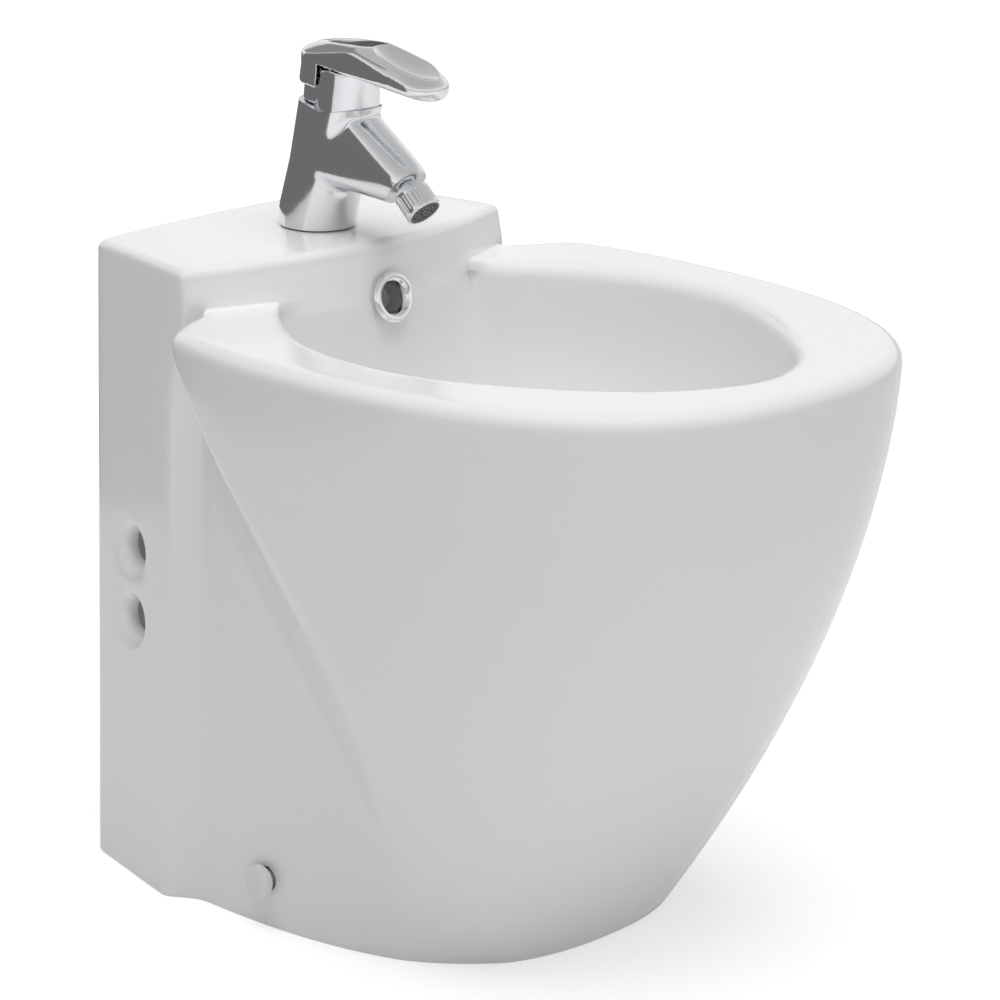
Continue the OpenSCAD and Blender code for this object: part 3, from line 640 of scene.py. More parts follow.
# Points of a profile nearer the axis than AXIS_R lie on it
AXIS_R = 0.001
HARD_EDGE = 0.0001
SPIN_SEAM = 0.0005
ROUND_STEPS = 4


def loose(name, bm):
    """An object in the scene that holds a bmesh, which is used up."""
    mesh = bpy.data.meshes.new(name)
    bm.to_mesh(mesh)
    bm.free()
    made = bpy.data.objects.new(name, mesh)
    bpy.context.scene.collection.objects.link(made)
    return made


def discard(made):
    mesh = made.data
    bpy.data.objects.remove(made)
    bpy.data.meshes.remove(mesh)


def shaped(name, bm, *steps):
    """A bmesh after modifiers: each step is a modifier's type and its settings."""
    made = loose(name, bm)
    for kind, settings in steps:
        modifier = made.modifiers.new(kind, kind)
        for key, value in settings.items():
            setattr(modifier, key, value)
    result = bmesh.new()
    result.from_object(made, bpy.context.evaluated_depsgraph_get())
    discard(made)
    return result


def less(bm, *cutters):
    """A bmesh with the cutters' shapes taken out of it."""
    tools = [loose("cutter", c) for c in cutters]
    bpy.context.view_layer.update()
    steps = [("BOOLEAN", {"object": tool, "operation": "DIFFERENCE", "solver": "EXACT"})
             for tool in tools]
    result = shaped("cut", bm, *steps)
    for tool in tools:
        discard(tool)
    return result


def piece(name, bm, body, slot, *nodes):
    """Finishes a piece, gives it its slot's finish and stands it in for CAD nodes."""
    if not bm.faces:
        raise RuntimeError(name + " has no faces")
    bmesh.ops.recalc_face_normals(bm, faces=bm.faces[:])
    for f in bm.faces:
        f.smooth = True
    for e in bm.edges:
        e.smooth = e.is_manifold and e.calc_face_angle(0.0) < SHARP_ANGLE
    made = loose(name, bm)
    made.data.materials.append(finish(slot))
    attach(made, body)
    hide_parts(*nodes)


def rounded(profile, radius):
    """Softens the corners of a closed outline of (r, z) points; those on the axis stay."""
    points = []
    for k, p in enumerate(profile):
        before, after = profile[k - 1], profile[(k + 1) % len(profile)]
        if p[0] < AXIS_R:
            points.append(p)
            continue
        reach = min(radius, 0.42 * math.dist(p, before), 0.42 * math.dist(p, after))
        points += arc(toward(p, before, reach), p, toward(p, after, reach), ROUND_STEPS)
    return points


def turned(profile, place, radius, segments=96):
    """A closed outline of (r, z) points, softened by radius, spun round Z and put in its place."""
    bm = bmesh.new()
    points = rounded(profile, radius)
    verts = [bm.verts.new((r, 0.0, z)) for r, z in points]
    pairs = zip(verts, verts[1:] + verts[:1])
    edges = [bm.edges.new(p) for p in pairs if p[0].co.x > AXIS_R or p[1].co.x > AXIS_R]
    bmesh.ops.spin(bm, geom=verts + edges, cent=(0, 0, 0), axis=(0, 0, 1), dvec=(0, 0, 0),
                   angle=math.tau, steps=segments, use_merge=True)
    bmesh.ops.remove_doubles(bm, verts=bm.verts[:], dist=SPIN_SEAM)
    bmesh.ops.recalc_face_normals(bm, faces=bm.faces[:])
    bmesh.ops.transform(bm, matrix=place, verts=bm.verts[:])
    return bm


def rod(r, low, high, place):
    return turned([(0, low), (r, low), (r, high), (0, high)], place, HARD_EDGE, 64)


def block(low, high, place):
    bm = bmesh.new()
    bmesh.ops.create_cube(bm, size=1)
    size = [b - a for a, b in zip(low, high)]
    middle = [(a + b) / 2 for a, b in zip(low, high)]
    bmesh.ops.scale(bm, vec=size, verts=bm.verts[:])
    bmesh.ops.translate(bm, vec=middle, verts=bm.verts[:])
    bmesh.ops.transform(bm, matrix=place, verts=bm.verts[:])
    return bm


def prism(points, half, place):
    """An outline of (u, h) points drawn out to both sides by half."""
    bm = bmesh.new()
    face = bm.faces.new([bm.verts.new((u, -half, h)) for u, h in points])
    made = bmesh.ops.extrude_face_region(bm, geom=[face])["geom"]
    bmesh.ops.translate(bm, verts=corners(made), vec=(0, 2 * half, 0))
    bmesh.ops.recalc_face_normals(bm, faces=bm.faces[:])
    bmesh.ops.transform(bm, matrix=place, verts=bm.verts[:])
    return bm


def hull(discs, place):
    """The convex skin of discs, each given as its own frame, radius and two heights."""
    bm = bmesh.new()
    for frame_of_disc, r, low, high in discs:
        for z in (low, high):
            bmesh.ops.create_circle(bm, segments=96, radius=r,
                                    matrix=frame_of_disc @ Matrix.Translation((0, 0, z)))
    made = bmesh.ops.convex_hull(bm, input=bm.verts[:], use_existing_faces=False)
    bmesh.ops.delete(bm, geom=corners(made["geom_interior"]), context="VERTS")
    bmesh.ops.recalc_face_normals(bm, faces=bm.faces[:])
    bmesh.ops.transform(bm, matrix=place, verts=bm.verts[:])
    return bm


def softened(bm, voxel, rounds):
    """Joins overlapping solids into one skin and softens its edges."""
    return shaped("soft", bm, ("REMESH", {"mode": "VOXEL", "voxel_size": voxel * MM}),
                  ("SMOOTH", {"factor": 0.5, "iterations": rounds}))


# ---------- places ----------

SCALE = Matrix.Scale(MM, 4)
WASTE = Matrix.Translation(at(0, WASTE_D, 0)) @ SCALE
# TAP's X points to the front of the bidet; LEAN and NOZZLE are frames within it
TAP = Matrix.Translation(at(0, TAP_D, TAP_Z)) @ Matrix.Rotation(-math.pi / 2, 4, "Z") @ SCALE
LEAN = Matrix.Translation((19.6, 0, 0)) @ Matrix.Rotation(math.radians(8), 4, "Y")
NOZZLE = Matrix.Translation((87, 0, 38)) @ Matrix.Rotation(math.radians(132), 4, "Y")


def off(u=0.0, v=0.0, h=0.0):
    return Matrix.Translation((u, v, h))


# ---------- finishes ----------
# Texture scales are per metre. A bump's height times its distance is in metres.

class Value:
    """A node's output that Python expressions join with Math nodes."""

    def __init__(self, maker, socket):
        self.maker = maker
        self.socket = socket

    def math(self, operation, a, b):
        return self.maker.node("ShaderNodeMath", {"operation": operation}, {0: a, 1: b})

    def __add__(self, other):
        return self.math("ADD", self, other)

    __radd__ = __add__

    def __sub__(self, other):
        return self.math("SUBTRACT", self, other)

    def __rsub__(self, other):
        return self.math("SUBTRACT", other, self)

    def __mul__(self, other):
        return self.math("MULTIPLY", self, other)

    __rmul__ = __mul__

    def __lt__(self, other):
        return self.math("LESS_THAN", self, other)

    def most(self, other):
        return self.math("MAXIMUM", self, other)


class Finish:
    """Builds the nodes of a material or of the world."""

    def __init__(self, owner):
        owner.use_nodes = True
        self.tree = owner.node_tree
        self.tree.nodes.clear()

    def node(self, kind, settings=None, sockets=None, output=0):
        made = self.tree.nodes.new(kind)
        for key, value in (settings or {}).items():
            if key == "stops":
                while len(made.color_ramp.elements) < len(value):
                    made.color_ramp.elements.new(1.0)
                for element, (place, colour) in zip(made.color_ramp.elements, value):
                    element.position = place
                    element.color = colour
            else:
                setattr(made, key, value)
        for key, value in (sockets or {}).items():
            if isinstance(value, Value):
                self.tree.links.new(value.socket, made.inputs[key])
            else:
                made.inputs[key].default_value = value
        return Value(self, made.outputs[output])

    def place(self, turn=(0, 0, 0), stretch=(1, 1, 1)):
        """Object coordinates in metres, turned and stretched."""
        where = self.node("ShaderNodeTexCoord", output="Object")
        return self.node("ShaderNodeMapping", {}, {
            "Vector": where, "Rotation": turn, "Scale": stretch})

    def noise(self, scale, detail=3.0, where=None, roughness=0.5):
        return self.node("ShaderNodeTexNoise", {}, {
            "Vector": where or self.place(), "Scale": scale, "Detail": detail,
            "Roughness": roughness})

    def cells(self, scale):
        """Distance from the middle of the nearest of many scattered cells."""
        return self.node("ShaderNodeTexVoronoi", {"feature": "F1"}, {
            "Vector": self.place(), "Scale": scale, "Randomness": 1.0})

    def ray(self, kind):
        return self.node("ShaderNodeLightPath", output=f"Is {kind} Ray")

    def ramp(self, value, *stops):
        """A number drawn through (position, value) stops."""
        return self.node("ShaderNodeValToRGB", {"stops": [(p, grey(v)) for p, v in stops]},
                         {"Fac": value})

    def blend(self, share, a, b):
        return self.node("ShaderNodeMix", {"data_type": "RGBA"}, {0: share, 6: a, 7: b}, output=2)

    def bump(self, height, distance, strength):
        return self.node("ShaderNodeBump", {}, {
            "Height": height, "Distance": distance, "Strength": strength})

    def surface(self, **sockets):
        self.show(self.node("ShaderNodeBsdfPrincipled", {}, {
            key.replace("_", " "): value for key, value in sockets.items()}))

    def show(self, shader, kind="ShaderNodeOutputMaterial"):
        made = self.tree.nodes.new(kind)
        self.tree.links.new(shader.socket, made.inputs["Surface"])


def rgba(colour, level=1.0):
    return (*(c * level for c in colour), 1.0)


def grey(level):
    return (level, level, level, 1.0)


SPECK = (0.52, 0.49, 0.44, 1.0)
BARE_CLAY = (0.74, 0.69, 0.61, 1.0)
# Painted shade: the near-black colour of the openings between the screen's wires
PAINTED_GAP_SHADE = (0.02, 0.02, 0.022, 1.0)
# Turn of the nozzle's face round X
SCREEN_TURN = math.radians(-42.0)


def glaze(made, colour):
    """White glaze: faint ripple, a little tone, bare clay under the foot."""
    height = made.node("ShaderNodeSeparateXYZ", {}, {"Vector": made.place()}, output="Z")
    clouds = made.ramp(made.noise(7.0, 4.0), (0.35, 0.0), (0.65, 1.0))
    tone = made.blend(clouds, rgba(colour, 0.985), rgba(colour))
    tone = made.blend((made.cells(260.0) < 0.035) * 0.16, tone, SPECK)
    bare = made.ramp(height * 1000.0 + made.noise(120.0) * 1.2, (0.55, 1.0), (1.0, 0.0))
    tone = made.blend(bare, tone, BARE_CLAY)
    ripple = made.noise(24.0, 2.0) * 0.00012 + made.noise(240.0, 2.0) * 0.000012
    grit = made.noise(1500.0, 3.0) * bare * 0.0003
    return dict(Base_Color=tone, Roughness=made.noise(40.0, 3.0) * 0.05 + 0.09 + bare * 0.6,
                Specular_IOR_Level=0.5, Coat_Roughness=0.04, Coat_Weight=0.25 - bare * 0.25,
                Normal=made.bump(ripple + grit, 1.0, 0.5))


def chrome_plate(made, colour):
    """Bright plating with faint water spots and wiping marks."""
    haze = made.ramp(made.noise(90.0, 5.0, roughness=0.6), (0.45, 0.0), (0.75, 1.0))
    spots = made.ramp(made.cells(300.0), (0.0, 1.0), (0.10, 0.6), (0.16, 0.0))
    wipes = made.noise(420.0, 2.0, made.place((0.3, 0.5, 0.0), (1.0, 0.12, 0.4)))
    tone = made.blend(haze, rgba(colour), rgba(colour, 0.97))
    return dict(Base_Color=tone, Metallic=1.0,
                Roughness=haze * 0.035 + spots * 0.05 + wipes * 0.03 + 0.035,
                Normal=made.bump(wipes * 0.000004 + spots * 0.000003, 1.0, 0.6))


def turned_brass(made, colour):
    """Brass with fine lathe lines and dull patches."""
    dull = made.noise(60.0, 4.0)
    lines = made.noise(900.0, 2.0, made.place(stretch=(0.05, 0.05, 1.0)))
    tone = made.blend(made.ramp(dull, (0.35, 0.0), (0.7, 1.0)), rgba(colour), rgba(colour, 0.72))
    return dict(Base_Color=tone, Metallic=1.0, Roughness=dull * 0.2 + lines * 0.15 + 0.15,
                Normal=made.bump(lines, 0.00003, 0.6))


def zinc_steel(made, colour):
    """Zinc plating: cloudy spangle and a satin grain."""
    spangle = made.cells(420.0)
    grain = made.noise(1200.0, 3.0, made.place(stretch=(1.0, 1.0, 0.08)))
    tone = made.blend(spangle, rgba(colour), rgba(colour, 0.8))
    return dict(Base_Color=tone, Metallic=1.0, Roughness=spangle * 0.15 + grain * 0.2 + 0.22,
                Normal=made.bump(grain, 0.00002, 0.5))


def black_rubber(made, colour):
    """Matt rubber with a dusty bloom and a fine moulded grain."""
    bloom = made.noise(80.0, 4.0)
    grain = made.noise(2200.0, 2.0)
    tone = made.blend(made.ramp(bloom, (0.4, 0.0), (0.8, 1.0)), rgba(colour), rgba(colour, 2.2))
    return dict(Base_Color=tone, Roughness=bloom * 0.2 + 0.6,
                Normal=made.bump(grain, 0.00005, 0.6))


def moulded_plastic(made, colour):
    """Satin moulding with a fine spark-eroded grain."""
    grain = made.noise(1800.0, 3.0)
    clouds = made.noise(30.0, 3.0)
    tone = made.blend(clouds, rgba(colour, 0.93), rgba(colour))
    return dict(Base_Color=tone, Roughness=grain * 0.15 + 0.35,
                Normal=made.bump(grain, 0.00002, 0.5))


def index_plastic(made, colour):
    """Smooth dark plug of the grub screw's hole, with fine scratches."""
    scratches = made.noise(3000.0, 2.0, made.place((0.0, 0.4, 0.2), (1.0, 0.06, 1.0)))
    tone = made.blend(scratches, rgba(colour, 0.9), rgba(colour))
    return dict(Base_Color=tone, Roughness=scratches * 0.1 + 0.16,
                Normal=made.bump(scratches, 0.000008, 0.5))


def strainer(made, colour):
    """Fine woven screen in the aerator's face, square to the nozzle, with painted shade in the
    openings between its wires.
    """
    square = made.node("ShaderNodeVectorRotate", {"rotation_type": "X_AXIS"}, {
        "Vector": made.place(), "Angle": SCREEN_TURN})
    wires = [made.node("ShaderNodeTexWave", {"wave_type": "BANDS", "bands_direction": axis},
                       {"Vector": square, "Scale": 260.0, "Distortion": 0.0}) for axis in "XY"]
    mesh = wires[0].most(wires[1])
    # The openings between the wires get painted shade, the wires a darker tone of the colour
    tone = made.blend(made.ramp(mesh, (0.55, 0.0), (0.75, 1.0)), PAINTED_GAP_SHADE, rgba(colour, 0.45))
    return dict(Base_Color=tone, Roughness=0.5 - mesh * 0.15, Normal=made.bump(mesh, 0.0001, 0.8))


FINISHES = {
    "glaze": glaze,
    "chrome_plate": chrome_plate,
    "raw_brass": turned_brass,
    "zinc_steel": zinc_steel,
    "black_rubber": black_rubber,
    "white_plastic": moulded_plastic,
    "grey_plastic": moulded_plastic,
    "index_plastic": index_plastic,
    "strainer": strainer,
}


def finish(slot):
    """The material of a slot, made the first time that it is asked for."""
    if slot not in bpy.data.materials:
        made = Finish(bpy.data.materials.new(slot))
        colour = tuple(getattr(bpy.context.scene.bidet_finishes, slot))
        made.surface(**FINISHES[slot](made, colour))
    return bpy.data.materials[slot]


# ---------- settings ----------

def colour_setting(name, description, default):
    return bpy.props.FloatVectorProperty(name=name, description=description, default=default,
                                         subtype="COLOR", min=0.0, max=1.0)


class BidetFinishes(bpy.types.PropertyGroup):
    """Colours of the finishes."""
    glaze: colour_setting("Glaze", "Colour of the glazed ceramic", (0.83, 0.83, 0.83))
    chrome_plate: colour_setting("Chrome", "Colour of the plated pieces", (0.80, 0.80, 0.81))
    raw_brass: colour_setting("Brass", "Colour of the unplated brass", (0.72, 0.55, 0.28))
    zinc_steel: colour_setting("Zinc", "Colour of the plated steel", (0.60, 0.62, 0.65))
    black_rubber: colour_setting("Rubber", "Colour of the seals", (0.03, 0.03, 0.032))
    white_plastic: colour_setting("White plastic", "Colour of white mouldings", (0.82, 0.82, 0.80))
    grey_plastic: colour_setting("Grey plastic", "Colour of grey mouldings", (0.30, 0.31, 0.33))
    index_plastic: colour_setting("Index", "Colour of the lever's index plug", (0.10, 0.11, 0.13))
    strainer: colour_setting("Strainer", "Colour of the aerator's screen", (0.45, 0.46, 0.48))


def length_setting(name, description, default):
    return bpy.props.FloatProperty(name=name, description=description, default=default,
                                   subtype="DISTANCE", unit="LENGTH", min=0.0)


class BidetSizes(bpy.types.PropertyGroup):
    """Sizes that suit other versions of the pieces."""
    cap_radius: length_setting("Screw cap radius", "Radius of the foot's screw caps", 0.011)
    overflow_radius: length_setting("Overflow radius", "Outer radius of the overflow's ring", 0.017)
    edge: length_setting("Turned edge", "Rounding of turned pieces' edges", 0.0005)
    voxel: length_setting("Tap detail", "Cell size of the tap's soft castings", 0.0007)
    grips: bpy.props.IntProperty(name="Grips", description="Grooves round the nozzle",
                                 default=24, min=6, max=48)


# ---------- operators ----------

class BidetOperator:
    """What all the operators share."""
    bl_options = {"REGISTER", "UNDO"}


# Bores through the casting: their radii, the screws' from and to, and the gap round a screw cap
OVERFLOW_BORE_R = 10.5
SCREW_BORE_R = 8.7
SCREW_BORE_X = (118.0, 150.0)
CAP_HOLE_END_X = 200.0
CAP_GAP = 0.6
# Where the corners between the deck's front face and the rim are smoothed
SMOOTH_REACH = 7.0
SMOOTH_HALF = 132.0
SMOOTH_ROUNDS = 3


class BIDET_OT_ceramic(BidetOperator, bpy.types.Operator):
    """Models the glazed casting with its bowl, deck, holes and hollow inside"""
    bl_idname = "bidet.ceramic"
    bl_label = "Ceramic"

    def execute(self, context):
        bm = casting()
        for _ in range(SMOOTH_ROUNDS):
            bmesh.ops.smooth_vert(bm, verts=foot_verts(bm), factor=0.5, use_axis_x=True,
                                  use_axis_y=True, use_axis_z=True)
        across = Matrix.Rotation(math.pi / 2, 4, "Y")
        place = Matrix.Translation(at(0, FIXING_D, FIXING_Z)) @ SCALE @ across
        cap_hole_r = context.scene.bidet_sizes.cap_radius / MM + CAP_GAP
        cutters = [rod(OVERFLOW_BORE_R, -40, 40, overflow_place())]
        for sign in (-1, 1):
            cutters.append(rod(cap_hole_r, sign * FIXING_X, sign * CAP_HOLE_END_X, place))
            cutters.append(rod(SCREW_BORE_R, *(sign * x for x in SCREW_BORE_X), place))
        piece("ceramic", less(bm, *cutters), "base", "glaze", "ceramic_body")
        return {"FINISHED"}


def foot_verts(bm):
    """Corners near the line where the deck's front face meets the rim, short of the notches."""
    found = []
    for v in bm.verts:
        x, d, z = abs(v.co.x) / MM, DEPTH / 2 - v.co.y / MM, v.co.z / MM
        if (abs(z - RIM_Z) < SMOOTH_REACH and x < SMOOTH_HALF
                and abs(d - deck_front(x, RIM_Z)) < SMOOTH_REACH):
            found.append(v)
    return found


def overflow_place():
    """Frame of the overflow's ring: its Z points out of the deck's front face."""
    lean = math.radians(90 - OVERFLOW_LEAN)
    return (Matrix.Translation(at(0, OVERFLOW_D, OVERFLOW_Z)) @ Matrix.Rotation(lean, 4, "X")
            @ SCALE)


class BIDET_OT_fittings(BidetOperator, bpy.types.Operator):
    """Turns the overflow's ring and the two screw caps of the foot"""
    bl_idname = "bidet.fittings"
    bl_label = "Overflow ring and screw caps"

    def execute(self, context):
        sizes = context.scene.bidet_sizes
        edge, r = sizes.edge / MM, sizes.overflow_radius / MM
        ring = [(9.3, -16), (10.4, -16), (10.4, 0), (r, 0), (r, 1.2), (r - 1, 2.4), (r - 2.6, 3),
                (r - 4.6, 2.6), (10.8, 1), (9.6, -2), (9.3, -6)]
        piece("overflow_trim", turned(ring, overflow_place(), edge), "base", "chrome_plate",
              "overflow_ring")
        r = sizes.cap_radius / MM
        cap = [(8.6, 0), (r, 0), (r, 5.2), (r - 1.2, 6.6), (0, 7.2), (0, 4.4), (8.6, 4.4)]
        caps = []
        for sign in (-1, 1):
            place = (Matrix.Translation(at(sign * FIXING_X, FIXING_D, FIXING_Z))
                     @ Matrix.Rotation(sign * math.pi / 2, 4, "Y") @ SCALE)
            caps.append(turned(cap, place, edge))
        piece("foot_caps", joined(*caps), "base", "white_plastic", "screw_caps")
        return {"FINISHED"}


class BIDET_OT_waste(BidetOperator, bpy.types.Operator):
    """Turns the cap of the waste's plug"""
    bl_idname = "bidet.waste"
    bl_label = "Plug"

    def execute(self, context):
        edge = context.scene.bidet_sizes.edge / MM
        cap = [(0, 0), (30, 0), (31, 0.8), (31, 2), (29, 3.2), (20, 4.4), (10, 5), (0, 5.2)]
        piece("plug_top", turned(cap, WASTE @ off(h=PLUG_Z), edge), "plug", "chrome_plate",
              "plug_cap")
        return {"FINISHED"}


# The tap's solids are drawn in its own frame: u to the front, v to the side, h up.
# Each disc of a hull is its frame, its radius and its two heights. A bore is a radius and two
# heights, and a profile of a prism is (u, h) points.
BODY_TOP = ((-60, 82), (0, 82), (60, 98), (60, 140), (-60, 140))
COVER_TOP = ((-60, 93.5), (0, 109.9), (60, 125), (60, 150), (-60, 150))
NECK_BORES = ((21.1, 81, 121), (19, 76, 122), (17.5, 42, 77))
COVER_BORES = ((18.6, 80, 100.5), (12.9, 80, 125))
STUD_BORE = (4, -5, 14)
STUD_U = -9.5
INLET_BORE = (4.9, -5, 12)
INLETS = ((8.5, -7), (8.5, 7))
NOZZLE_BORE = (9.5, -11.5, 30)
GRUB_BORE = (2.2, -1, 40)
GRUB_AT, GRUB_TILT = (4, 0, 115.2), math.radians(101)
HANDLE_GAP = (22, 80, 110)
# Finger dish of the handle: a ball of this radius, its place, its tilt and its stretch
DISH_R = 20
DISH_AT, DISH_TILT = (53, 0, 141.5), math.radians(9)
DISH_STRETCH = (2.0, 1.1, 1.0, 1.0)
# Rounds of smoothing, and the cell size of the thinner castings as a share of the body's
BODY_ROUNDS = 90
HANDLE_ROUNDS = 60
COVER_CELL, COVER_ROUNDS = 0.8, 4
DISH_CELL, DISH_ROUNDS = 0.9, 5


def tap_skin():
    """Column, neck and spout of the tap: overlapping solids that run past its foot and top."""
    column = hull([(off(), 24.4, -8, 3), (off(-8, 6), 15.5, 3, 12), (off(-8, -6), 15.5, 3, 12),
                   (off(4), 21.6, 3, 12), (off(19), 21.5, 46, 47),
                   (off(4, 5), 16.5, 44, 46), (off(4, -5), 16.5, 44, 46)], TAP)
    neck = hull([(off(4, 5), 16.5, 40, 46), (off(4, -5), 16.5, 40, 46), (off(19), 21.5, 42, 44),
                 (LEAN @ off(1.5), 22.8, 95, 96), (LEAN @ off(-21, 4), 14, 95, 96),
                 (LEAN @ off(-21, -4), 14, 95, 96)], TAP)
    spout = hull([(LEAN, 21.6, 40, 62), (LEAN @ off(2), 15.0, 70, 84), (off(16), 17, 34, 35),
                  (off(66), 16.4, 38, 45), (off(44), 11, 60, 69.5), (off(64), 11, 50, 61),
                  (NOZZLE, 15.2, -7, -3), (NOZZLE, 14.0, -3, 4)], TAP)
    return joined(column, neck, spout)


class BIDET_OT_tap(BidetOperator, bpy.types.Operator):
    """Models the tap's body with its bores, and the cover round its neck"""
    bl_idname = "bidet.tap"
    bl_label = "Tap body"

    def execute(self, context):
        voxel = context.scene.bidet_sizes.voxel / MM
        place = TAP @ LEAN
        body = softened(tap_skin(), voxel, BODY_ROUNDS)
        cuts = [block((-40, -40, -20), (60, 40, 0), TAP), prism(BODY_TOP, 40, place),
                block((-40, -40, 0), (40, 40, 40), TAP @ NOZZLE)]
        cuts += [rod(*bore, place) for bore in NECK_BORES]
        cuts += [rod(*STUD_BORE, TAP @ off(STUD_U)), rod(*NOZZLE_BORE, TAP @ NOZZLE)]
        cuts += [rod(*INLET_BORE, TAP @ off(*inlet)) for inlet in INLETS]
        piece("tap_casting", less(body, *cuts), "base", "chrome_plate", "tap_body")

        tube = hull([(off(), 20.9, 81.2, 83), (off(), 19.6, 108, 109.6)], place)
        tube = less(tube, prism(COVER_TOP, 40, place))
        fairing = hull([(off(-20.6), 15.2, 82.4, 99.5), (off(-2), 15.2, 82.4, 99.5)], place)
        cover = softened(joined(tube, fairing), voxel * COVER_CELL, COVER_ROUNDS)
        cover = less(cover, *(rod(*bore, place) for bore in COVER_BORES))
        piece("tap_collar", cover, "lever_turn", "chrome_plate", "neck_cover")
        return {"FINISHED"}


def handle_skin():
    """Rear skirt, domed cap and paddle of the lever, as overlapping solids."""
    skirt = hull([(LEAN @ off(-23), 17.4, 92.5, 94.5), (LEAN @ off(-22), 17.2, 112, 114),
                  (LEAN @ off(-8), 17.5, 92.5, 114)], TAP)
    cap = hull([(LEAN @ off(-23), 17.4, 108, 114), (LEAN @ off(-17), 12, 119, 120.8),
                (LEAN @ off(-8), 17.5, 108, 114),
                (LEAN @ off(22), 19, 111, 121), (off(34), 13, 115, 125.4),
                (off(54), 13, 115, 126.2), (off(52), 17, 115, 123.5)], TAP)
    paddle = hull([(LEAN @ off(20), 18.6, 111, 121), (off(54), 13, 115, 126.2),
                   (off(52), 17, 115, 123.5), (LEAN @ off(52), 20.5, 114.5, 121),
                   (LEAN @ off(52), 17.5, 111.6, 125.5), (LEAN @ off(48), 12, 110.6, 129),
                   (LEAN @ off(66), 18, 113, 118.5), (LEAN @ off(66), 14, 110.2, 121.8),
                   (LEAN @ off(71), 12.6, 110, 119.6), (LEAN @ off(71), 9, 109, 121.2)], TAP)
    return joined(skirt, cap, paddle)


class BIDET_OT_lever(BidetOperator, bpy.types.Operator):
    """Models the lever's handle with its skirt, finger dish and socket"""
    bl_idname = "bidet.lever"
    bl_label = "Lever"

    def execute(self, context):
        voxel = context.scene.bidet_sizes.voxel / MM
        place = TAP @ LEAN
        outside = softened(handle_skin(), voxel, HANDLE_ROUNDS)
        under = block((-60, -40, 80), (60, 40, 93.5), place)
        room = hull([(off(-23), 15.4, 90, 113.5), (off(-13), 15.4, 90, 114.0),
                     (off(2), 17.5, 90, 113.0)], place)
        room = less(room, block((-6.5, -7.5, 109), (13, 7.5, 139), place))
        ahead = block((-11.6, -40, 80), (60, 40, 110), place)
        dish = bmesh.new()
        bmesh.ops.create_uvsphere(dish, u_segments=96, v_segments=64, radius=DISH_R)
        bmesh.ops.transform(dish, verts=dish.verts[:], matrix=place @ off(*DISH_AT)
                            @ Matrix.Rotation(DISH_TILT, 4, "Y") @ Matrix.Diagonal(DISH_STRETCH))
        clear = rod(*HANDLE_GAP, place)
        handle = less(outside, under, room, ahead, clear, dish)
        handle = softened(handle, voxel * DISH_CELL, DISH_ROUNDS)
        grub = place @ off(*GRUB_AT) @ Matrix.Rotation(GRUB_TILT, 4, "Y")
        socket = block((-4.05, -4.05, 93), (4.05, 4.05, 118.1), place)
        piece("lever_paddle", less(handle, socket, rod(*GRUB_BORE, grub)), "lever",
              "chrome_plate", "lever_handle")
        return {"FINISHED"}


# Nozzle: its own radius and length, the room of its ball, and the grooves' depth and ends
NOZZLE_R = 12.0
NOZZLE_LOW = 22.5
BALL_R = 9.6
GROOVE_DEPTH = 0.65
GROOVE_ENDS = (7.5, 19.5)


class BIDET_OT_nozzle(BidetOperator, bpy.types.Operator):
    """Turns the swivelling nozzle and presses its grooves in"""
    bl_idname = "bidet.nozzle"
    bl_label = "Nozzle"

    def execute(self, context):
        sizes = context.scene.bidet_sizes
        r, low = NOZZLE_R, NOZZLE_LOW
        shell = [(BALL_R - 1, 3), (r - 1.4, 3), (r - 0.4, 5.2)]
        shell += [(r, z) for z in (6, 8, 9.2, 12, 15, 17.6, 18.8, low - 1)]
        shell += [(r - 0.8, low), (r - 1.6, low), (r - 1.6, 13.5), (BALL_R - 1, 13.5)]
        bm = turned(shell, Matrix.Identity(4), sizes.edge / MM, sizes.grips * 8)
        for v in bm.verts:
            if math.hypot(v.co.x, v.co.y) > r - 0.3:
                wave = math.cos(math.atan2(v.co.y, v.co.x) * sizes.grips)
                fade = (smooth_step((v.co.z - GROOVE_ENDS[0]) / 2)
                        * smooth_step((GROOVE_ENDS[1] - v.co.z) / 2))
                shrink = 1 - GROOVE_DEPTH / r * max(0.0, wave) ** 4 * fade
                v.co.x *= shrink
                v.co.y *= shrink
        bmesh.ops.transform(bm, matrix=TAP @ NOZZLE, verts=bm.verts[:])
        piece("nozzle_shell", less(bm, ball_room()), "nozzle", "chrome_plate", "nozzle_head")
        return {"FINISHED"}


def ball_room():
    """Room of the nozzle's ball and its ring."""
    bm = bmesh.new()
    bmesh.ops.create_uvsphere(bm, u_segments=64, v_segments=48, radius=BALL_R + 0.05)
    bmesh.ops.transform(bm, matrix=TAP @ NOZZLE @ off(0, 0, 6), verts=bm.verts[:])
    return bm


class BIDET_OT_finishes(BidetOperator, bpy.types.Operator):
    """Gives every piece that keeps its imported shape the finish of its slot"""
    bl_idname = "bidet.finishes"
    bl_label = "Finishes of the hidden pieces"

    def execute(self, context):
        for name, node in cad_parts.items():
            for slot in node.material_slots:
                packed = slot.material.name.split(".")[0]
                slot.material = finish("strainer" if name == "aerator" else packed)
        return {"FINISHED"}


# ---------- stage, in metres ----------

# Lamps, none of which shows in the metal: place, the point they face, size and watts
LAMPS = {
    "overhead": ((-0.2, -0.2, 3.0), (0, 0, 0.4), 2.6, 56.0),
    "left_softbox": ((-2.4, -2.0, 0.6), (0, 0, 0.2), 1.6, 7.0),
    "right_softbox": ((0.9, -2.9, 0.9), (0, 0, 0.3), 1.2, 4.5),
}
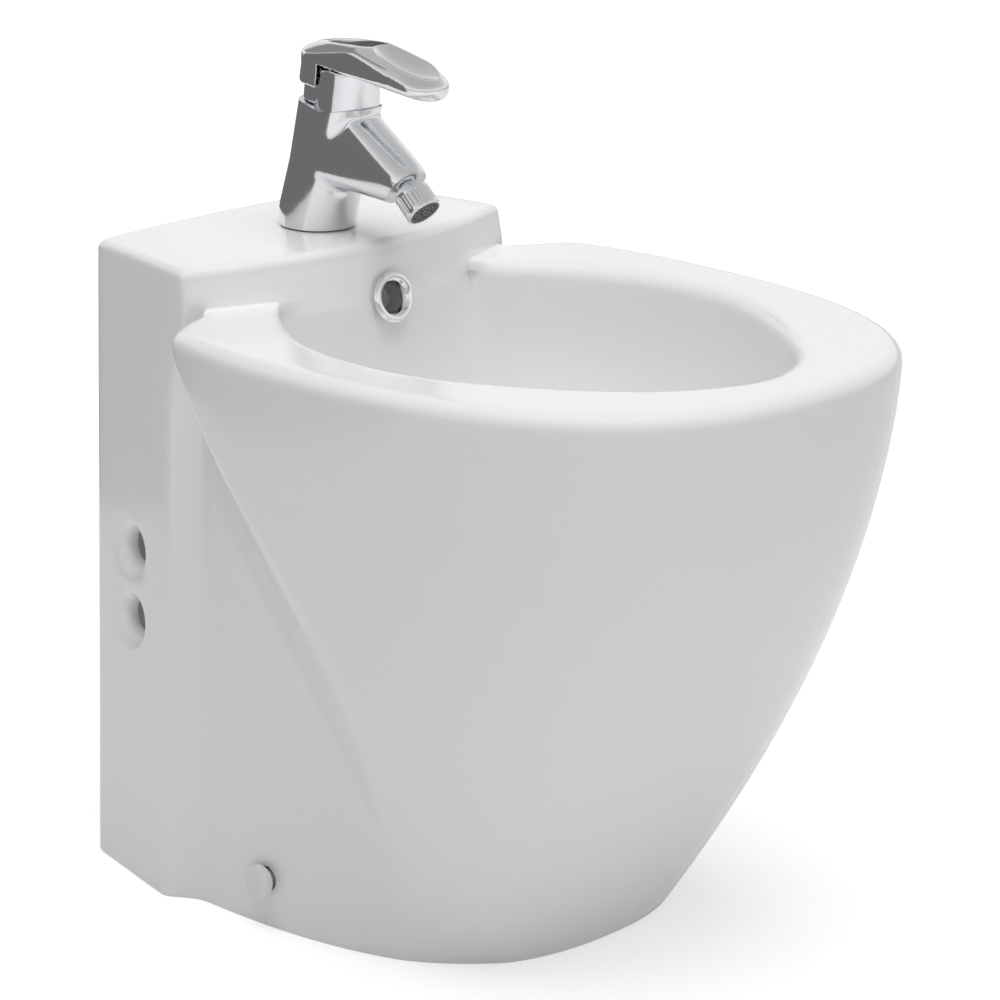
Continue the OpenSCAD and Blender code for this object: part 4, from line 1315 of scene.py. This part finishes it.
# Cards that only the metal and the glaze mirror: place, size and grey
CARDS = {
    "left_card": ((-0.80, 0.90, 0.45), (1.3, 0.9), 0.17),
    "rear_card": ((0.326, 0.479, 0.651), (0.12, 0.07), 0.05),
    "upper_card": ((-0.10, 0.55, 0.85), (0.45, 0.30), 0.28),
    "back_card": ((-0.05, 1.20, 0.20), (1.0, 0.6), 0.17),
}
CARD_AIM = Vector((0.0, 0.15, 0.48))
CAMERA_PLACE = (-1.6426, -1.6599, 0.9892)
CAMERA_LOOK = (0.6717, 0.6811, -0.2919)
LENS, SENSOR = 136.9, 36.0
FLOOR_R = 14.0
# The floor's own light: its tone by distance over 4 m, and its strength for mirrored rays, for
# the camera on top of that, and for all others
FLOOR_TONES = ((0.08, 0.63), (0.6, 1.0))
FLOOR_MIRRORED, FLOOR_SEEN, FLOOR_LIT = 0.34, 0.38, 0.08
# Backdrop that the metal mirrors, from straight down over the level at 0.5 to straight up
BACKDROP = ((0.490, 1.0), (0.503, 0.06), (0.520, 0.06), (0.535, 1.0), (0.65, 0.90),
            (0.80, 0.62), (1.0, 0.50))
SKY_LIGHT = 0.25


class BIDET_OT_stage(BidetOperator, bpy.types.Operator):
    """Sets the floor, the lamps, the world and the camera"""
    bl_idname = "bidet.stage"
    bl_label = "Stage"

    def execute(self, context):
        stage_floor()
        stage_world()
        for name, settings in LAMPS.items():
            lamp(name, *settings)
        for name, settings in CARDS.items():
            dark_card(name, *settings)
        camera = bpy.data.cameras.new("photo_camera")
        camera.lens, camera.sensor_width = LENS, SENSOR
        bpy.context.scene.camera = placed("photo_camera", camera, CAMERA_PLACE, CAMERA_LOOK)
        bpy.context.scene.view_settings.view_transform = "Standard"
        return {"FINISHED"}


def placed(name, data, place, look):
    """A lamp or camera at its place, facing along look."""
    made = bpy.data.objects.new(name, data)
    bpy.context.scene.collection.objects.link(made)
    made.location = place
    made.rotation_euler = Vector(look).to_track_quat("-Z", "Y").to_euler()
    return made


def lamp(name, place, aim, size, watts):
    light = bpy.data.lights.new(name, "AREA")
    light.shape, light.size, light.energy = "DISK", size, watts
    placed(name, light, place, Vector(aim) - Vector(place)).visible_glossy = False


def dark_card(name, place, size, tone):
    """A grey card that only the bright metal and the glaze mirror."""
    bm = bmesh.new()
    bmesh.ops.create_grid(bm, x_segments=1, y_segments=1, size=0.5)
    bmesh.ops.scale(bm, vec=(*size, 1.0), verts=bm.verts[:])
    aim = (CARD_AIM - Vector(place)).to_track_quat("Z", "Y").to_matrix().to_4x4()
    bmesh.ops.transform(bm, matrix=Matrix.Translation(place) @ aim, verts=bm.verts[:])
    material = bpy.data.materials.new(name)
    made = Finish(material)
    made.show(made.node("ShaderNodeEmission", {}, {"Color": grey(tone), "Strength": 1.0}))
    card = loose(name, bm)
    card.data.materials.append(material)
    card.visible_camera = card.visible_diffuse = card.visible_shadow = False


def bright_rays(made):
    """1 for the rays that see the backdrop itself: from the camera, off metal or through glass."""
    return made.ray("Camera").most(made.ray("Glossy")).most(made.ray("Transmission"))


def stage_floor():
    bm = bmesh.new()
    bmesh.ops.create_circle(bm, cap_ends=True, segments=96, radius=FLOOR_R)
    material = bpy.data.materials.new("pale_floor")
    made = Finish(material)
    far = made.node("ShaderNodeVectorMath", {"operation": "LENGTH"}, {0: made.place()},
                    output="Value")
    glow = made.node("ShaderNodeEmission", {}, {
        "Color": made.ramp(far * 0.25, *FLOOR_TONES),
        "Strength": (bright_rays(made) * FLOOR_MIRRORED + made.ray("Camera") * FLOOR_SEEN
                     + FLOOR_LIT)})
    lit = made.node("ShaderNodeBsdfDiffuse", {}, {"Color": grey(0.85)})
    made.show(made.node("ShaderNodeAddShader", {}, {0: lit, 1: glow}))
    floor = loose("floor", bm)
    floor.data.materials.append(material)


def stage_world():
    world = bpy.data.worlds.new("studio")
    bpy.context.scene.world = world
    made = Finish(world)
    towards = made.node("ShaderNodeNewGeometry", output="Incoming")
    rise = made.node("ShaderNodeSeparateXYZ", {}, {"Vector": towards}, output="Z")
    backdrop = made.ramp(rise * -0.5 + 0.5, *BACKDROP)
    seen = bright_rays(made)
    level = made.ray("Camera").most(seen * backdrop + (1 - seen) * SKY_LIGHT)
    made.show(made.node("ShaderNodeBackground", {}, {"Color": grey(1.0), "Strength": level}),
              "ShaderNodeOutputWorld")


class BIDET_PT_panel(bpy.types.Panel):
    """Buttons that make the bidet's pieces, and their sizes and colours"""
    bl_label = "Bidet"
    bl_idname = "BIDET_PT_panel"
    bl_space_type = "VIEW_3D"
    bl_region_type = "UI"
    bl_category = "Bidet"

    def draw(self, context):
        for operator in OPERATORS:
            self.layout.operator(operator.bl_idname)
        for settings in (context.scene.bidet_sizes, context.scene.bidet_finishes):
            box = self.layout.box()
            for name in settings.__annotations__:
                box.prop(settings, name)


OPERATORS = (BIDET_OT_ceramic, BIDET_OT_fittings, BIDET_OT_waste, BIDET_OT_tap, BIDET_OT_lever,
             BIDET_OT_nozzle, BIDET_OT_finishes, BIDET_OT_stage)
CLASSES = (BidetFinishes, BidetSizes, *OPERATORS, BIDET_PT_panel)


def register():
    for cls in CLASSES:
        bpy.utils.register_class(cls)
    bpy.types.Scene.bidet_finishes = bpy.props.PointerProperty(type=BidetFinishes)
    bpy.types.Scene.bidet_sizes = bpy.props.PointerProperty(type=BidetSizes)


def unregister():
    del bpy.types.Scene.bidet_sizes
    del bpy.types.Scene.bidet_finishes
    for cls in reversed(CLASSES):
        bpy.utils.unregister_class(cls)


def main():
    register()
    for operator in OPERATORS:
        group, name = operator.bl_idname.split(".")
        getattr(getattr(bpy.ops, group), name)()


if __name__ == "__main__":
    main()
